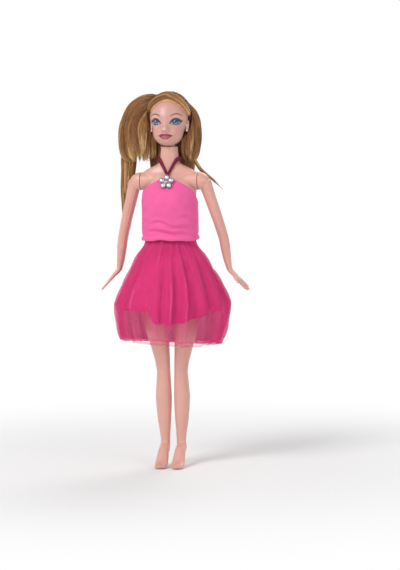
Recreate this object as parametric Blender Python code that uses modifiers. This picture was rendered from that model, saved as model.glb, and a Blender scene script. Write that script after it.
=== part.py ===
"""Fashion doll in a halter dress, built as the separate pieces that it comes apart into.

Metres, +Z up. The doll stands upright and faces -Y, so its left side is at +X. Its mid-plane is x = 0 and the balls of
its bare feet stand on z = 0. Every piece is one closed body in its own object, parented to the empty of the body that
it moves with.
"""
import math

import bmesh
import bpy
import numpy as np
from mathutils import Matrix, Vector

# Clearances
SEAT_GAP = 0.0003  # between pieces that rest on each other
JOINT_GAP = 0.0004  # between plastic pieces that turn on each other
CUT_OVERRUN = 0.002  # how far a cutter runs past what it cuts

# Heights of the body, stacked from the floor
ANKLE_HEIGHT = 0.0190
SHIN_LENGTH = 0.0546
THIGH_LENGTH = 0.0764
HIP_TO_WAIST = 0.0310
WAIST_TO_BUST = 0.0275
BUST_TO_SHOULDER = 0.0139
SHOULDER_TO_NECK = 0.0146
NECK_LENGTH = 0.0122
NECK_TO_HEAD_CENTRE = 0.0188
KNEE_Z = ANKLE_HEIGHT + SHIN_LENGTH
HIP_Z = KNEE_Z + THIGH_LENGTH
WAIST_Z = HIP_Z + HIP_TO_WAIST
BUST_Z = WAIST_Z + WAIST_TO_BUST
SHOULDER_Z = BUST_Z + BUST_TO_SHOULDER
NECK_BASE_Z = SHOULDER_Z + SHOULDER_TO_NECK
NECK_TOP_Z = NECK_BASE_Z + NECK_LENGTH
HEAD_Z = NECK_TOP_Z + NECK_TO_HEAD_CENTRE

# Torso sections: half width, depth in front of the middle and depth behind it
SEAT_HALF_WIDTH, SEAT_FRONT, SEAT_BACK = 0.0195, 0.0100, 0.0108
HIP_HALF_WIDTH, HIP_FRONT, HIP_BACK = 0.0190, 0.0112, 0.0116
WAIST_HALF_WIDTH, WAIST_FRONT, WAIST_BACK = 0.0146, 0.0094, 0.0084
BUST_HALF_WIDTH, BUST_FRONT, BUST_BACK = 0.0206, 0.0105, 0.0094
CHEST_HALF_WIDTH, CHEST_FRONT, CHEST_BACK = 0.0212, 0.0082, 0.0088
SLOPE_HALF_WIDTH, SLOPE_FRONT, SLOPE_BACK = 0.0150, 0.0066, 0.0072
COLLAR_HALF_WIDTH = 0.0078
NECK_RADIUS = 0.0065
HIP_RISE = 0.0140  # from the hip axis up to the widest part above the legs
SLOPE_DROP = 0.0040  # from the neck's base down to the middle of the sloping shoulders
BREAST_X = 0.0090
BREAST_LIFT = 0.0062
BREAST_SPREAD = 0.0068
BREAST_TURN_SHARE = 0.8  # the mound's spread across, as a share of its spread up and down
TORSO_WALL = 0.0018
TORSO_SEGMENTS = 32
TORSO_STEPS = 2  # rows of the mesh between neighbouring sections
CAVITY_SEGMENTS = 16
CAVITY_ROWS = 8
CAVITY_FLOOR_RISE = 0.0060  # from the hips' widest part up to the cavity's floor
PARTING_GAP = 0.0003

# Shoulders and the arms' pegs
SHOULDER_HALF_WIDTH = 0.0224
SHOULDER_RADIUS = 0.0070
SHOULDER_CAP = 0.0086  # how far the arm's round cap stands out from the shoulder
PEG_RADIUS = 0.0029
PEG_HEAD_RADIUS = 0.0042
PEG_HEAD_LENGTH = 0.0024
PEG_LENGTH = 0.0068  # of the stem between the shoulder's face and the peg's head

# Neck knob
STEM_RADIUS = 0.0023
STEM_FOOT_RADIUS = 0.0040
STEM_FOOT_LENGTH = 0.0020
COLLAR_RADIUS = 0.0045
KNOB_RADIUS = 0.0072
KNOB_LENGTH = 0.0030
NOD_RISE = 0.0044  # from the neck's top to the axis of the nod
NECK_PLAY = 0.0012  # room above the neck for the head to nod
KNOB_RISE = 0.0052  # from the neck's top to the underside of the knob

# Pelvis, hip drums and hip rod
WEB_HALF_WIDTH = 0.0031  # of the pelvis between the legs
HIP_RADIUS = 0.0112
DRUM_LENGTH = 0.0172
DRUM_ROUND = 0.0070
SEAT_CUT_SHARE = 0.5  # how high the back of the torso is cut for the leg, as a share of the drum's radius
ROD_RADIUS = 0.0015
ROD_HEAD_RADIUS = 0.0028
ROD_HEAD_LENGTH = 0.0022
ROD_HALF_LENGTH = 0.0140

# Legs: distance from the mid-plane, place front to back, half width and half depth at each height
THIGH_Z_SHARES = (0.86, 0.52, 0.32, 0.21)  # heights down the thigh, as shares of the way from the knee up to the hip
UPPER_THIGH_X, UPPER_THIGH_HALF_WIDTH, UPPER_THIGH_HALF_DEPTH = 0.0127, 0.0093, 0.0105
THIGH_X, THIGH_HALF_WIDTH, THIGH_HALF_DEPTH = 0.0124, 0.0097, 0.0098
LOWER_THIGH_X, LOWER_THIGH_HALF_WIDTH, LOWER_THIGH_HALF_DEPTH = 0.0100, 0.0079, 0.0084
KNEE_TOP_X, KNEE_TOP_HALF_WIDTH, KNEE_TOP_HALF_DEPTH = 0.0087, 0.0068, 0.0072
KNEE_X, KNEE_HALF_WIDTH, KNEE_HALF_DEPTH = 0.0069, 0.0053, 0.0060
CALF_X, CALF_Y, CALF_HALF_WIDTH, CALF_HALF_DEPTH = 0.0073, 0.0012, 0.0064, 0.0071
SHIN_X, SHIN_Y, SHIN_HALF_WIDTH, SHIN_HALF_DEPTH = 0.0069, 0.0010, 0.0053, 0.0055
ANKLE_X, ANKLE_Y, ANKLE_HALF_WIDTH, ANKLE_HALF_DEPTH = 0.0063, 0.0008, 0.0036, 0.0041
CALF_RISE_SHARE = 0.64  # height of the calf, as a share of the shin from the ankle up
SHIN_RISE_SHARE = 0.29
LEG_SEGMENTS = 16
LEG_STEPS = 2  # rows of the mesh from one section to the next

# Feet, raised at the heel
FOOT_X = 0.0066
HEEL_Z, HEEL_Y, HEEL_HALF_WIDTH, HEEL_HALF_DEPTH = 0.0146, 0.0004, 0.0040, 0.0056
INSTEP_Z, INSTEP_Y, INSTEP_HALF_WIDTH, INSTEP_HALF_DEPTH = 0.0112, 0.0062, 0.0042, 0.0044
BALL_Z, BALL_Y, BALL_HALF_WIDTH, BALL_HALF_DEPTH = 0.0028, 0.0152, 0.0052, 0.0031
TOE_Z, TOE_Y, TOE_HALF_WIDTH, TOE_HALF_DEPTH = 0.0013, 0.0222, 0.0044, 0.0018
TOE_TIP = 0.0022  # how far the toes run past their last section

# Arms: lengths, then the angle away from vertical of each stretch, seen from in front
UPPER_ARM_LENGTH = 0.0470
FOREARM_LENGTH = 0.0256
PALM_LENGTH = 0.0120
UPPER_ARM_SPLAY, FOREARM_SPLAY, HAND_SPLAY = math.radians(15.5), math.radians(9.0), math.radians(42.0)
ARM_SWING = math.radians(13.0)  # how far the whole arm hangs behind vertical
ELBOW_BEND = math.radians(6.0)  # how far the forearm bends forward of the upper arm
ARM_X = 0.0051  # from the shoulder's face out to the arm's line
DELTOID_RADIUS, UPPER_ARM_RADIUS, ELBOW_RADIUS = 0.0051, 0.0046, 0.0040
FOREARM_RADIUS, WRIST_HALF_WIDTH, WRIST_HALF_DEPTH = 0.0039, 0.0022, 0.0026
PALM_HALF_THICKNESS, PALM_HALF_BREADTH = 0.0016, 0.0042
KNUCKLE_HALF_THICKNESS, KNUCKLE_HALF_BREADTH = 0.0012, 0.0044
FINGER_RADIUS = 0.0010
FINGER_LENGTH = 0.0106
FINGER_LENGTH_SHARES = (0.77, 0.96, 1.0, 0.87)
FINGER_PITCH = 0.0022
FINGER_FAN = math.radians(5.0)  # angle between neighbouring fingers
THUMB_LENGTH, THUMB_RADIUS, THUMB_ANGLE = 0.0078, 0.0012, math.radians(38.0)
ARM_SEGMENTS = 12
ARM_STEPS = 2
FINGER_SEGMENTS = 6

# Head: two egg shapes blended, the skull and the face below it, from the head's centre
SKULL_Y, SKULL_RISE = 0.0010, 0.0035
SKULL_HALF_WIDTH, SKULL_HALF_DEPTH, SKULL_HALF_HEIGHT = 0.0147, 0.0168, 0.0168
JAW_Y, JAW_DROP = -0.0040, 0.0080
JAW_HALF_WIDTH, JAW_HALF_DEPTH, JAW_HALF_HEIGHT = 0.0116, 0.0122, 0.0104
HEAD_BLEND = 14.0  # sharpness of the blend between the two eggs
HEAD_WALL = 0.0020
HEAD_SEGMENTS = 34
HEAD_ROWS = 20
HEAD_FRONT_CROWD_SHARE = 0.5  # how much closer the lines of the mesh stand on the face
FACE_SIZE = 0.0200  # from the hairline's middle down to the chin's
# The face's forms, as shares of that size: place from the mid-plane and above the head's centre, spread across and
# up, and lift. The paired ones are mirrored, the middle ones aren't.
PAIRED_SHARES = {
    "socket": (0.380, 0.010, 0.180, 0.120, -0.060),
    "brow": (0.300, 0.260, 0.250, 0.100, 0.015),
    "cheek": (0.410, -0.310, 0.200, 0.200, 0.030),
    "nose_wing": (0.085, -0.295, 0.055, 0.055, 0.050),
    "upper_lip": (0.080, -0.480, 0.090, 0.042, 0.045),
}
MIDDLE_SHARES = {
    "bridge": (0.0, -0.070, 0.090, 0.165, 0.095),
    "nose_tip": (0.0, -0.265, 0.105, 0.100, 0.130),
    "lower_lip": (0.0, -0.585, 0.130, 0.045, 0.055),
    "mouth": (0.0, -0.530, 0.170, 0.020, -0.030),
    "chin": (0.0, -0.820, 0.170, 0.130, 0.060),
}
# An ear's place behind the head's centre and above it, spreads and lift, as shares of the same size
EAR_SHARES = (0.060, -0.150, 0.080, 0.150, 0.070)

# Hair
HAIR_SEAT = 0.0009  # from the skull out to the crown's inner face
CROWN_THICKNESS = 0.0027
CROWN_SEGMENTS = 28
CROWN_ROWS = 7
HAIRLINE_DEPTH_SHARES = (-1.0, -0.80, -0.42, 0.06, 0.50, 1.0)  # places round the head, -1 at the face and 1 behind
HAIRLINE_RISES = (80.0, 72.0, 55.0, 20.0, -24.0, -36.0)  # the crown's edge, in degrees above the head's centre
BAND_RADIUS = 0.0024
BAND_SEGMENTS = 8
BAND_ROWS = 16
BAND_START, BAND_END = -168.0, -4.0  # round the head in degrees, from the right temple to the left ear
BAND_END_SHARE = 0.4
HAIR_CLEARANCE = 0.0008  # from the crown out to the hair that hangs over it
HAIR_WELD = 0.00003  # corners closer together than this are drawn into one where a lock is cut
HAIR_SPREAD, HAIR_DEPTH, HAIR_LENGTH = 0.0435, 0.0240, 0.1110
HAIR_OVER_HEAD = 0.0422  # how far down from its top the hair follows the head, whatever its length
OVER_HEAD_SHARE = 0.38  # the place down the locks where that stretch ends
LOCK_SEGMENTS = 12
LOCK_ROWS = 9

# Each lock's sections from its root down: place across, back and down, then half width and half depth. The first two
# and last two are shares of the hair's spread and depth, and the place down is one that hair_drop turns into a length.
BACK_SHARES = (
    (-0.02, 0.50, 0.05, 0.20, 0.16),
    (-0.02, 0.71, 0.12, 0.32, 0.20),
    (-0.02, 0.81, 0.26, 0.39, 0.21),
    (-0.02, 0.78, 0.42, 0.39, 0.20),
    (-0.02, 0.75, 0.57, 0.36, 0.18),
    (-0.02, 0.76, 0.73, 0.29, 0.155),
    (-0.02, 0.76, 0.86, 0.20, 0.10),
)
RIGHT_SHARES = (
    (-0.22, 0.25, 0.058, 0.15, 0.24),
    (-0.38, 0.31, 0.099, 0.245, 0.29),
    (-0.54, 0.37, 0.176, 0.315, 0.33),
    (-0.62, 0.38, 0.28, 0.33, 0.30),
    (-0.62, 0.40, 0.387, 0.325, 0.23),
    (-0.62, 0.40, 0.446, 0.29, 0.17),
    (-0.62, 0.40, 0.485, 0.17, 0.07),
)
LEFT_SHARES = (
    (0.31, 0.33, 0.108, 0.08, 0.17),
    (0.345, 0.34, 0.153, 0.127, 0.22),
    (0.368, 0.36, 0.225, 0.163, 0.25),
    (0.37, 0.37, 0.312, 0.1725, 0.25),
    (0.354, 0.36, 0.396, 0.168, 0.21),
    (0.340, 0.36, 0.45, 0.138, 0.16),
    (0.330, 0.36, 0.485, 0.07, 0.07),
)
LONG_LOCK_SHARES = (
    (-0.80, 0.62, 0.37, 0.14, 0.10),
    (-0.82, 0.62, 0.46, 0.14, 0.10),
    (-0.84, 0.60, 0.58, 0.125, 0.085),
    (-0.855, 0.61, 0.74, 0.10, 0.075),
    (-0.865, 0.70, 0.88, 0.07, 0.06),
    (-0.865, 0.79, 1.00, 0.03, 0.04),
)
STRAY_LOCK_SHARES = (
    (0.40, 0.34, 0.455, 0.035, 0.06),
    (0.51, 0.42, 0.533, 0.035, 0.06),
    (0.73, 0.50, 0.613, 0.030, 0.055),
    (0.954, 0.54, 0.695, 0.012, 0.02),
)
LOCKS = {
    "hair_back": (BACK_SHARES, ("head",)),
    "hair_right_side": (RIGHT_SHARES, ("head", "hair_back")),
    "hair_left_side": (LEFT_SHARES, ("head", "hair_back")),
    "hair_long_lock": (LONG_LOCK_SHARES, ("hair_right_side",)),
    "hair_stray_lock": (STRAY_LOCK_SHARES, ("hair_left_side",)),
}

# Dress
CLOTH = 0.0008
NET = 0.0005
BODICE_EASE = 0.0006
BODICE_HEM_DROP = 0.0048  # from the waist down to the bodice's hem
BODICE_FRONT_RISE = 0.0028  # from the shoulder's axis up to the top edge at the front
BODICE_SIDE_DROP = 0.0025  # from the bust down to the top edge under the arms
BODICE_SEGMENTS = 37
BODICE_ROWS = 9
BODICE_SLIT = 0.0022
BODICE_CREASES, BODICE_CREASE = 3, 0.0005
BAND_HEIGHT = 0.0042
WAISTBAND_ROWS = 3
WAISTBAND_THICKNESS = 0.0011
PLACKET_WIDTH, PLACKET_THICKNESS = 0.0070, 0.0008
TAPE_WIDTH, TAPE_THICKNESS = 0.0050, 0.0006
STRAP_WIDTH, STRAP_THICKNESS = 0.0027, 0.0008
STRAP_DROP = 0.0098  # from the neck's base down to the point of the strap's V
STRAP_GAP = 0.0006  # to the skin
STRAP_CLIMB = math.radians(72.0)  # how far round from the front the strap has climbed to the neck
STRAP_SLANT_SHARE = 0.35  # how much taller the ribbon's section is where it runs at a slant
STRAP_STEPS = 32
BODICE_HEM_Z = WAIST_Z - BODICE_HEM_DROP
WAISTBAND_DROP = 0.0008  # from the waist down to the band's top
WAISTBAND_TOP_Z = WAIST_Z - WAISTBAND_DROP

# Skirt, three layers that hang from the waistband
SKIRT_REACH = 0.0442  # half the skirt's width where it is widest
SKIRT_DEPTH = 0.0366  # from its middle to its front and back there
NET_LENGTH = 0.0850  # from the waistband's top down to the outer net's hem
SKIRT_DROP_SHARES = (0.0, 0.055, 0.19, 0.32, 0.46, 0.575, 0.63, 0.79, 0.92, 1.0)
SKIRT_REACH_SHARES = (0.0, 0.01, 0.31, 0.53, 0.765, 0.935, 1.0, 0.95, 0.85, 0.72)
LINING_LENGTH_SHARE = 0.76  # of the outer net's length
INNER_NET_LENGTH_SHARE = 0.975
LAYER_STEP = 0.0013  # how far each layer lies inside the next one
FOLD_COUNT = 11
FOLD_DEPTH_SHARE = 0.05  # of the reach, at the hem
SKIRT_SEGMENTS = 4 * FOLD_COUNT
SKIRT_ROWS = 8
SKIRT_ROW_POWER = 1.15  # sets the rows closer together towards the waist
SKIRT_LAST_ROW_SHARE = 0.03  # the least distance from a layer's hem up to its next row

# Brooch
BROOCH_RADIUS, BROOCH_THICKNESS = 0.0060, 0.0019
BROOCH_DROP = 0.0004  # from the shoulder's axis down to the brooch's middle
BROOCH_SEAT = 0.0004
PETAL_COUNT = 5
BROOCH_SEGMENTS = 6 * PETAL_COUNT
PETAL_NOTCH_SHARE = 0.42  # how deep the notches between the petals are
PETAL_DIP_SHARE = 1.0
BROOCH_STUD_SHARE = 0.20
# From the flower's back round its edge to the top of its stud: radius and height, as shares of the whole
FLOWER_SHARES = ((0.55, 0.0), (0.96, 0.06), (1.0, 0.22), (0.86, 0.52), (0.58, 0.66), (0.24, 0.50),
                 (0.18, 0.84), (0.08, 1.0))

SKIN = (0.86, 0.58, 0.47)
HAIR = (0.62, 0.40, 0.18)
PINK = (0.85, 0.20, 0.42)
HOT_PINK = (0.80, 0.04, 0.22)
BURGUNDY = (0.22, 0.015, 0.07)
SILVER = (0.80, 0.79, 0.80)
STEEL = (0.55, 0.55, 0.56)
TAPE_WHITE = (0.80, 0.76, 0.77)


def clear_scene():
    """Start from an empty scene."""
    for item in list(bpy.data.objects):
        bpy.data.objects.remove(item, do_unlink=True)


def new_collection(name):
    """A collection in the scene."""
    made = bpy.data.collections.new(name)
    bpy.context.scene.collection.children.link(made)
    return made


def finish(name, colour, roughness, metallic=0.0):
    """The material of one sub-part."""
    made = bpy.data.materials.new(name)
    made.use_nodes = True
    shader = made.node_tree.nodes["Principled BSDF"]
    shader.inputs["Base Color"].default_value = (*colour, 1.0)
    shader.inputs["Roughness"].default_value = roughness
    shader.inputs["Metallic"].default_value = metallic
    made.diffuse_color = (*colour, 1.0)
    return made


def between(knots, rows, places):
    """Rows at the places, on smooth curves through the rows given at the knots, without overshoot."""
    knots, rows, places = np.asarray(knots, float), np.asarray(rows, float), np.asarray(places, float)
    step = np.diff(knots)
    slope = np.diff(rows, axis=0) / step[:, None]
    tangent = np.zeros_like(rows)
    tangent[0], tangent[-1] = slope[0], slope[-1]
    product = slope[:-1] * slope[1:]
    total = np.where(product > 0, slope[:-1] + slope[1:], 1.0)
    tangent[1:-1] = np.where(product > 0, 2 * product / total, 0.0)
    i = np.clip(np.searchsorted(knots, places, side="right") - 1, 0, len(step) - 1)
    h = step[i][:, None]
    t = (places[:, None] - knots[i][:, None]) / h
    start, end = rows[i], rows[i + 1]
    pull = tangent[i] * h * t * (1 - t) ** 2 - tangent[i + 1] * h * t ** 2 * (1 - t)
    return start * (1 + 2 * t) * (1 - t) ** 2 + end * t ** 2 * (3 - 2 * t) + pull


def along(rows, count):
    """Rows spaced evenly along the line through the rows' first three numbers."""
    rows = np.asarray(rows, float)
    reach = np.concatenate(([0.0], np.cumsum(np.linalg.norm(np.diff(rows[:, :3], axis=0), axis=1))))
    return between(reach, rows, np.linspace(0.0, reach[-1], count))


def through(rows, steps):
    """Every given row, and rows evenly spaced between neighbours, on the smooth line through them all."""
    rows = np.asarray(rows, float)
    reach = np.concatenate(([0.0], np.cumsum(np.linalg.norm(np.diff(rows[:, :3], axis=0), axis=1))))
    places = [reach[0]]
    for low, high in zip(reach, reach[1:]):
        places += list(np.linspace(low, high, steps + 1)[1:])
    return between(reach, rows, places)


def angles(count):
    """Angles round one turn."""
    return np.arange(count) * 2 * math.pi / count


def level_ring(z, half_width, front, back, count):
    """A level section whose depth differs in front and behind, with no corner on the parting plane."""
    turn = angles(count) + math.pi / count
    depth = np.where(np.sin(turn) < 0, front, back)
    return np.stack([half_width * np.cos(turn), depth * np.sin(turn), np.full(count, z)], axis=1)


def square_ring(centre, direction, width_axis, half_width, half_depth, count):
    """An elliptical section square to a direction, with its width along the width axis."""
    direction = direction / np.linalg.norm(direction)
    across = width_axis - direction * np.dot(width_axis, direction)
    across = across / np.linalg.norm(across)
    up = np.cross(direction, across)
    turn = angles(count)
    return centre + np.outer(half_width * np.cos(turn), across) + np.outer(half_depth * np.sin(turn), up)


def mesh_from(name, points, faces):
    """A mesh whose faces point out."""
    mesh = bpy.data.meshes.new(name)
    mesh.from_pydata([tuple(map(float, p)) for p in points], [], faces)
    work = bmesh.new()
    work.from_mesh(mesh)
    bmesh.ops.recalc_face_normals(work, faces=work.faces)
    work.to_mesh(mesh)
    work.free()
    mesh.shade_smooth()
    mesh.set_sharp_from_angle(angle=math.radians(50.0))
    return mesh


def ring_faces(rows, count, closed=False):
    """Quads between rings of equal count, and from the last ring back to the first where closed."""
    faces = []
    for r in range(rows if closed else rows - 1):
        low, high = r * count, ((r + 1) % rows) * count
        for k in range(count):
            n = (k + 1) % count
            faces.append((low + k, low + n, high + n, high + k))
    return faces


def loft(name, rings):
    """A closed body through rings of equal count, with flat ends."""
    count = len(rings[0])
    faces = ring_faces(len(rings), count)
    faces.append(tuple(range(count)))
    faces.append(tuple(range((len(rings) - 1) * count, len(rings) * count)))
    return mesh_from(name, np.concatenate(rings), faces)


def shell(name, outer, inner):
    """A closed tube of cloth between outer and inner rings, which are joined at both edges."""
    count = len(outer[0])
    rings = list(outer) + list(inner)[::-1]
    return mesh_from(name, np.concatenate(rings), ring_faces(len(rings), count, closed=True))


def sheet_solid(name, outer, inner):
    """A closed sheet between two equal grids of points that are open round their sides."""
    rows, count = len(outer), len(outer[0])
    size = rows * count
    faces = []
    for r in range(rows - 1):
        for k in range(count - 1):
            a, b, c, d = r * count + k, r * count + k + 1, (r + 1) * count + k + 1, (r + 1) * count + k
            faces.append((a, b, c, d))
            faces.append((size + d, size + c, size + b, size + a))
    rim = [k for k in range(count)]
    rim += [r * count + count - 1 for r in range(1, rows)]
    rim += [(rows - 1) * count + k for k in range(count - 2, -1, -1)]
    rim += [r * count for r in range(rows - 2, 0, -1)]
    for a, b in zip(rim, rim[1:] + rim[:1]):
        faces.append((b, a, size + a, size + b))
    return mesh_from(name, np.concatenate([np.concatenate(outer), np.concatenate(inner)]), faces)


def turned(name, profile, segments, axis="Z"):
    """A body turned about an axis, from a profile of (radius, place along the axis) rows from the top down."""
    mesh = bpy.data.meshes.new(name)
    points = [(radius, 0.0, place) for radius, place in profile]
    mesh.from_pydata(points, [(k, k + 1) for k in range(len(points) - 1)], [])
    item = bpy.data.objects.new(name, mesh)
    screw = item.modifiers.new("turn", "SCREW")
    screw.steps = screw.render_steps = segments
    screw.use_merge_vertices = True
    screw.merge_threshold = 0.00001
    screw.use_smooth_shade = True
    if axis == "X":
        item.rotation_euler = (0.0, math.pi / 2, 0.0)
    return item


def put(item, collection, material=None, parent=None):
    """Link an object to its collection, with its material and parent."""
    collection.objects.link(item)
    if material:
        item.data.materials.append(material)
    if parent:
        item.parent = parent
        item.matrix_parent_inverse = parent.matrix_world.inverted()
    return item


def piece(name, mesh, material, parent):
    """A sub-part from a mesh in place."""
    item = bpy.data.objects.new(name, mesh)
    return put(item, PARTS, material, parent)


def guide(item):
    """A cutter, or a shape that is joined to a piece."""
    put(item, CUTTERS)
    item.hide_render = True
    item.display_type = "WIRE"
    return item


def combine(item, other, operation):
    """Cut another shape from a piece, or join it on."""
    change = item.modifiers.new(f"{operation.lower()}_{other.name}", "BOOLEAN")
    change.operation = operation
    change.object = other
    change.solver = "EXACT"


def box_guide(name, low, high):
    """A box from its two corners."""
    mesh = bpy.data.meshes.new(name)
    work = bmesh.new()
    size = [b - a for a, b in zip(low, high)]
    middle = [(a + b) / 2 for a, b in zip(low, high)]
    bmesh.ops.create_cube(work, size=1.0, matrix=Matrix.LocRotScale(Vector(middle), None, Vector(size)))
    work.to_mesh(mesh)
    work.free()
    return guide(bpy.data.objects.new(name, mesh))


def turned_guide(name, profile, axis, z, segments=20):
    """A turned cutter about an axis at a height."""
    item = turned(name, profile, segments, axis)
    item.location = (0.0, 0.0, z)
    return guide(item)


def egg_guide(name, centre, radii, segments=16, rings=10):
    """A ball stretched along the axes."""
    mesh = bpy.data.meshes.new(name)
    work = bmesh.new()
    place = Matrix.LocRotScale(Vector(centre), None, Vector(radii))
    bmesh.ops.create_uvsphere(work, u_segments=segments, v_segments=rings, radius=1.0, matrix=place)
    work.to_mesh(mesh)
    work.free()
    return guide(bpy.data.objects.new(name, mesh))


def body_empty(name, place):
    """The empty that carries one moving body, on its joint's axis."""
    item = bpy.data.objects.new(name, None)
    item.location = place
    item.empty_display_size = SHOULDER_RADIUS
    PARTS.objects.link(item)
    bpy.context.view_layer.update()
    return item


# Torso

TORSO_KNOTS = (
    HIP_Z - HIP_RADIUS,
    HIP_Z,
    HIP_Z + HIP_RISE,
    WAIST_Z,
    BUST_Z,
    SHOULDER_Z,
    SHOULDER_Z + SHOULDER_RADIUS,
    NECK_BASE_Z - SLOPE_DROP,
    NECK_BASE_Z,
    NECK_TOP_Z,
)
TORSO_SIZES = (
    (SEAT_HALF_WIDTH / 2, SEAT_FRONT / 2, SEAT_BACK / 2),
    (SEAT_HALF_WIDTH, SEAT_FRONT, SEAT_BACK),
    (HIP_HALF_WIDTH, HIP_FRONT, HIP_BACK),
    (WAIST_HALF_WIDTH, WAIST_FRONT, WAIST_BACK),
    (BUST_HALF_WIDTH, BUST_FRONT, BUST_BACK),
    (CHEST_HALF_WIDTH, CHEST_FRONT, CHEST_BACK),
    (CHEST_HALF_WIDTH - SEAT_GAP, (CHEST_FRONT + SLOPE_FRONT) / 2, (CHEST_BACK + SLOPE_BACK) / 2),
    (SLOPE_HALF_WIDTH, SLOPE_FRONT, SLOPE_BACK),
    (COLLAR_HALF_WIDTH, SLOPE_FRONT, SLOPE_FRONT),
    (NECK_RADIUS, NECK_RADIUS, NECK_RADIUS),
)


def torso_levels():
    """The heights of the rows of the torso's mesh."""
    heights = []
    for low, high in zip(TORSO_KNOTS, TORSO_KNOTS[1:]):
        heights += list(np.linspace(low, high, TORSO_STEPS, endpoint=False))
    return heights + [TORSO_KNOTS[-1]]


def torso_size(z):
    """Half width, front depth and back depth of the torso's mesh at a height, without the breasts."""
    levels = torso_levels()
    sizes = between(TORSO_KNOTS, TORSO_SIZES, levels)
    return np.array([np.interp(z, levels, sizes[:, k]) for k in range(sizes.shape[1])])


def breast_lift(x, z):
    """How far the breasts stand forward of the plain torso at a point."""
    across = (np.abs(x) - BREAST_X) / (BREAST_SPREAD * BREAST_TURN_SHARE)
    up = (z - BUST_Z) / BREAST_SPREAD
    return BREAST_LIFT * np.exp(-(across ** 2 + up ** 2) / 2)


def torso_ring(z, inset=0.0, lift=True, count=TORSO_SEGMENTS):
    """A section of the torso, drawn in by an inset."""
    half_width, front, back = torso_size(z) - inset
    ring = level_ring(z, half_width, front, back, count)
    if lift:
        facing = np.clip(-ring[:, 1] / front, 0.0, 1.0)
        ring[:, 1] -= breast_lift(ring[:, 0], z) * facing
    return ring


def torso_solid():
    """The whole torso with its shoulder stubs, before it is parted."""
    return loft("torso_form", [torso_ring(z) for z in torso_levels()])


def torso_cutters():
    """What is cut out of the torso: its cavity, the bores of the pegs, knob and rod, and room for the legs."""
    floor, roof = HIP_Z + HIP_RISE + CAVITY_FLOOR_RISE, NECK_BASE_Z - SLOPE_DROP
    heights = np.linspace(floor, roof, CAVITY_ROWS)
    rings = [torso_ring(z, TORSO_WALL, lift=False, count=CAVITY_SEGMENTS) for z in heights]
    cavity = guide(bpy.data.objects.new("torso_cavity", loft("torso_cavity", rings)))
    room, bore = PEG_HEAD_RADIUS + JOINT_GAP, PEG_RADIUS + JOINT_GAP
    near, far = peg_head_end() + JOINT_GAP, SHOULDER_HALF_WIDTH + CUT_OVERRUN
    peg_room = turned_guide("peg_room", [
        (0.0, far), (bore, far), (bore, near), (room, near), (room, -near), (bore, -near), (bore, -far), (0.0, -far),
    ], "X", SHOULDER_Z)
    foot, bore = STEM_FOOT_RADIUS + JOINT_GAP, STEM_RADIUS + JOINT_GAP
    top, step, low = NECK_TOP_Z + CUT_OVERRUN, stem_foot_z() + STEM_FOOT_LENGTH + JOINT_GAP, stem_foot_z() - CUT_OVERRUN
    stem_room = turned_guide("stem_room", [
        (0.0, top), (bore, top), (bore, step), (foot, step), (foot, low), (0.0, low),
    ], "Z", 0.0)
    rod = ROD_RADIUS + SEAT_GAP
    far = HIP_HALF_WIDTH + CUT_OVERRUN
    rod_room = turned_guide("rod_room", [(0.0, far), (rod, far), (rod, -far), (0.0, -far)], "X", HIP_Z)
    return [cavity, peg_room, stem_room, rod_room, leg_room(1, "left_leg_room"), leg_room(-1, "right_leg_room")]


def leg_room(side, name):
    """Room beside the pelvis's web for the round top of a leg and for the thigh as it swings."""
    reach = SEAT_HALF_WIDTH + HIP_HALF_WIDTH
    radius = HIP_RADIUS + JOINT_GAP
    low = HIP_Z - HIP_RADIUS - CUT_OVERRUN
    outline = [(reach, low), (-reach, low), (-reach, HIP_Z + radius)]
    start, end = math.pi / 2, math.asin(SEAT_CUT_SHARE)
    steps = 10
    for k in range(steps + 1):
        turn = start + (end - start) * k / steps
        outline.append((radius * math.cos(turn), HIP_Z + radius * math.sin(turn)))
    outline.append((reach, HIP_Z + radius * SEAT_CUT_SHARE))
    near, far = side * WEB_HALF_WIDTH, side * reach
    rings = [np.array([(x, y, z) for y, z in outline]) for x in (near, far)]
    return guide(bpy.data.objects.new(name, loft(name, rings)))


def make_torso(parent, material):
    """The torso's front and back halves, hollow above the hips, parted at the middle plane."""
    end = SHOULDER_HALF_WIDTH
    profile = [(0.0, end), (SHOULDER_RADIUS, end), (SHOULDER_RADIUS, -end), (0.0, -end)]
    stub = turned_guide("shoulder_stub", profile, "X", SHOULDER_Z, 28)
    cutters = torso_cutters()
    reach = SHOULDER_HALF_WIDTH + CUT_OVERRUN
    low, high = -CUT_OVERRUN, NECK_TOP_Z + CUT_OVERRUN
    gap = PARTING_GAP / 2
    drop = {
        "torso_front": box_guide("back_side", (-reach, -gap, low), (reach, reach, high)),
        "torso_back": box_guide("front_side", (-reach, -reach, low), (reach, gap, high)),
    }
    for name, side in drop.items():
        half = piece(name, torso_solid(), material, parent)
        combine(half, stub, "UNION")
        combine(half, side, "DIFFERENCE")
        for cutter in cutters:
            combine(half, cutter, "DIFFERENCE")


def make_hip_rod(parent, material):
    """The steel rod that both legs turn on, with its upset heads inside the legs."""
    end, head = ROD_HALF_LENGTH, ROD_HALF_LENGTH - ROD_HEAD_LENGTH
    profile = [(0.0, end), (ROD_HEAD_RADIUS, end), (ROD_HEAD_RADIUS, head), (ROD_RADIUS, head),
               (ROD_RADIUS, -head), (ROD_HEAD_RADIUS, -head), (ROD_HEAD_RADIUS, -end), (0.0, -end)]
    rod = turned("hip_rod", profile, 14, "X")
    rod.location = (0.0, 0.0, HIP_Z)
    put(rod, PARTS, material, parent)


# Neck knob


def stem_foot_z():
    """The underside of the foot that holds the knob's stem in the torso."""
    return NECK_BASE_Z - SLOPE_DROP - CUT_OVERRUN - STEM_FOOT_LENGTH


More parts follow.
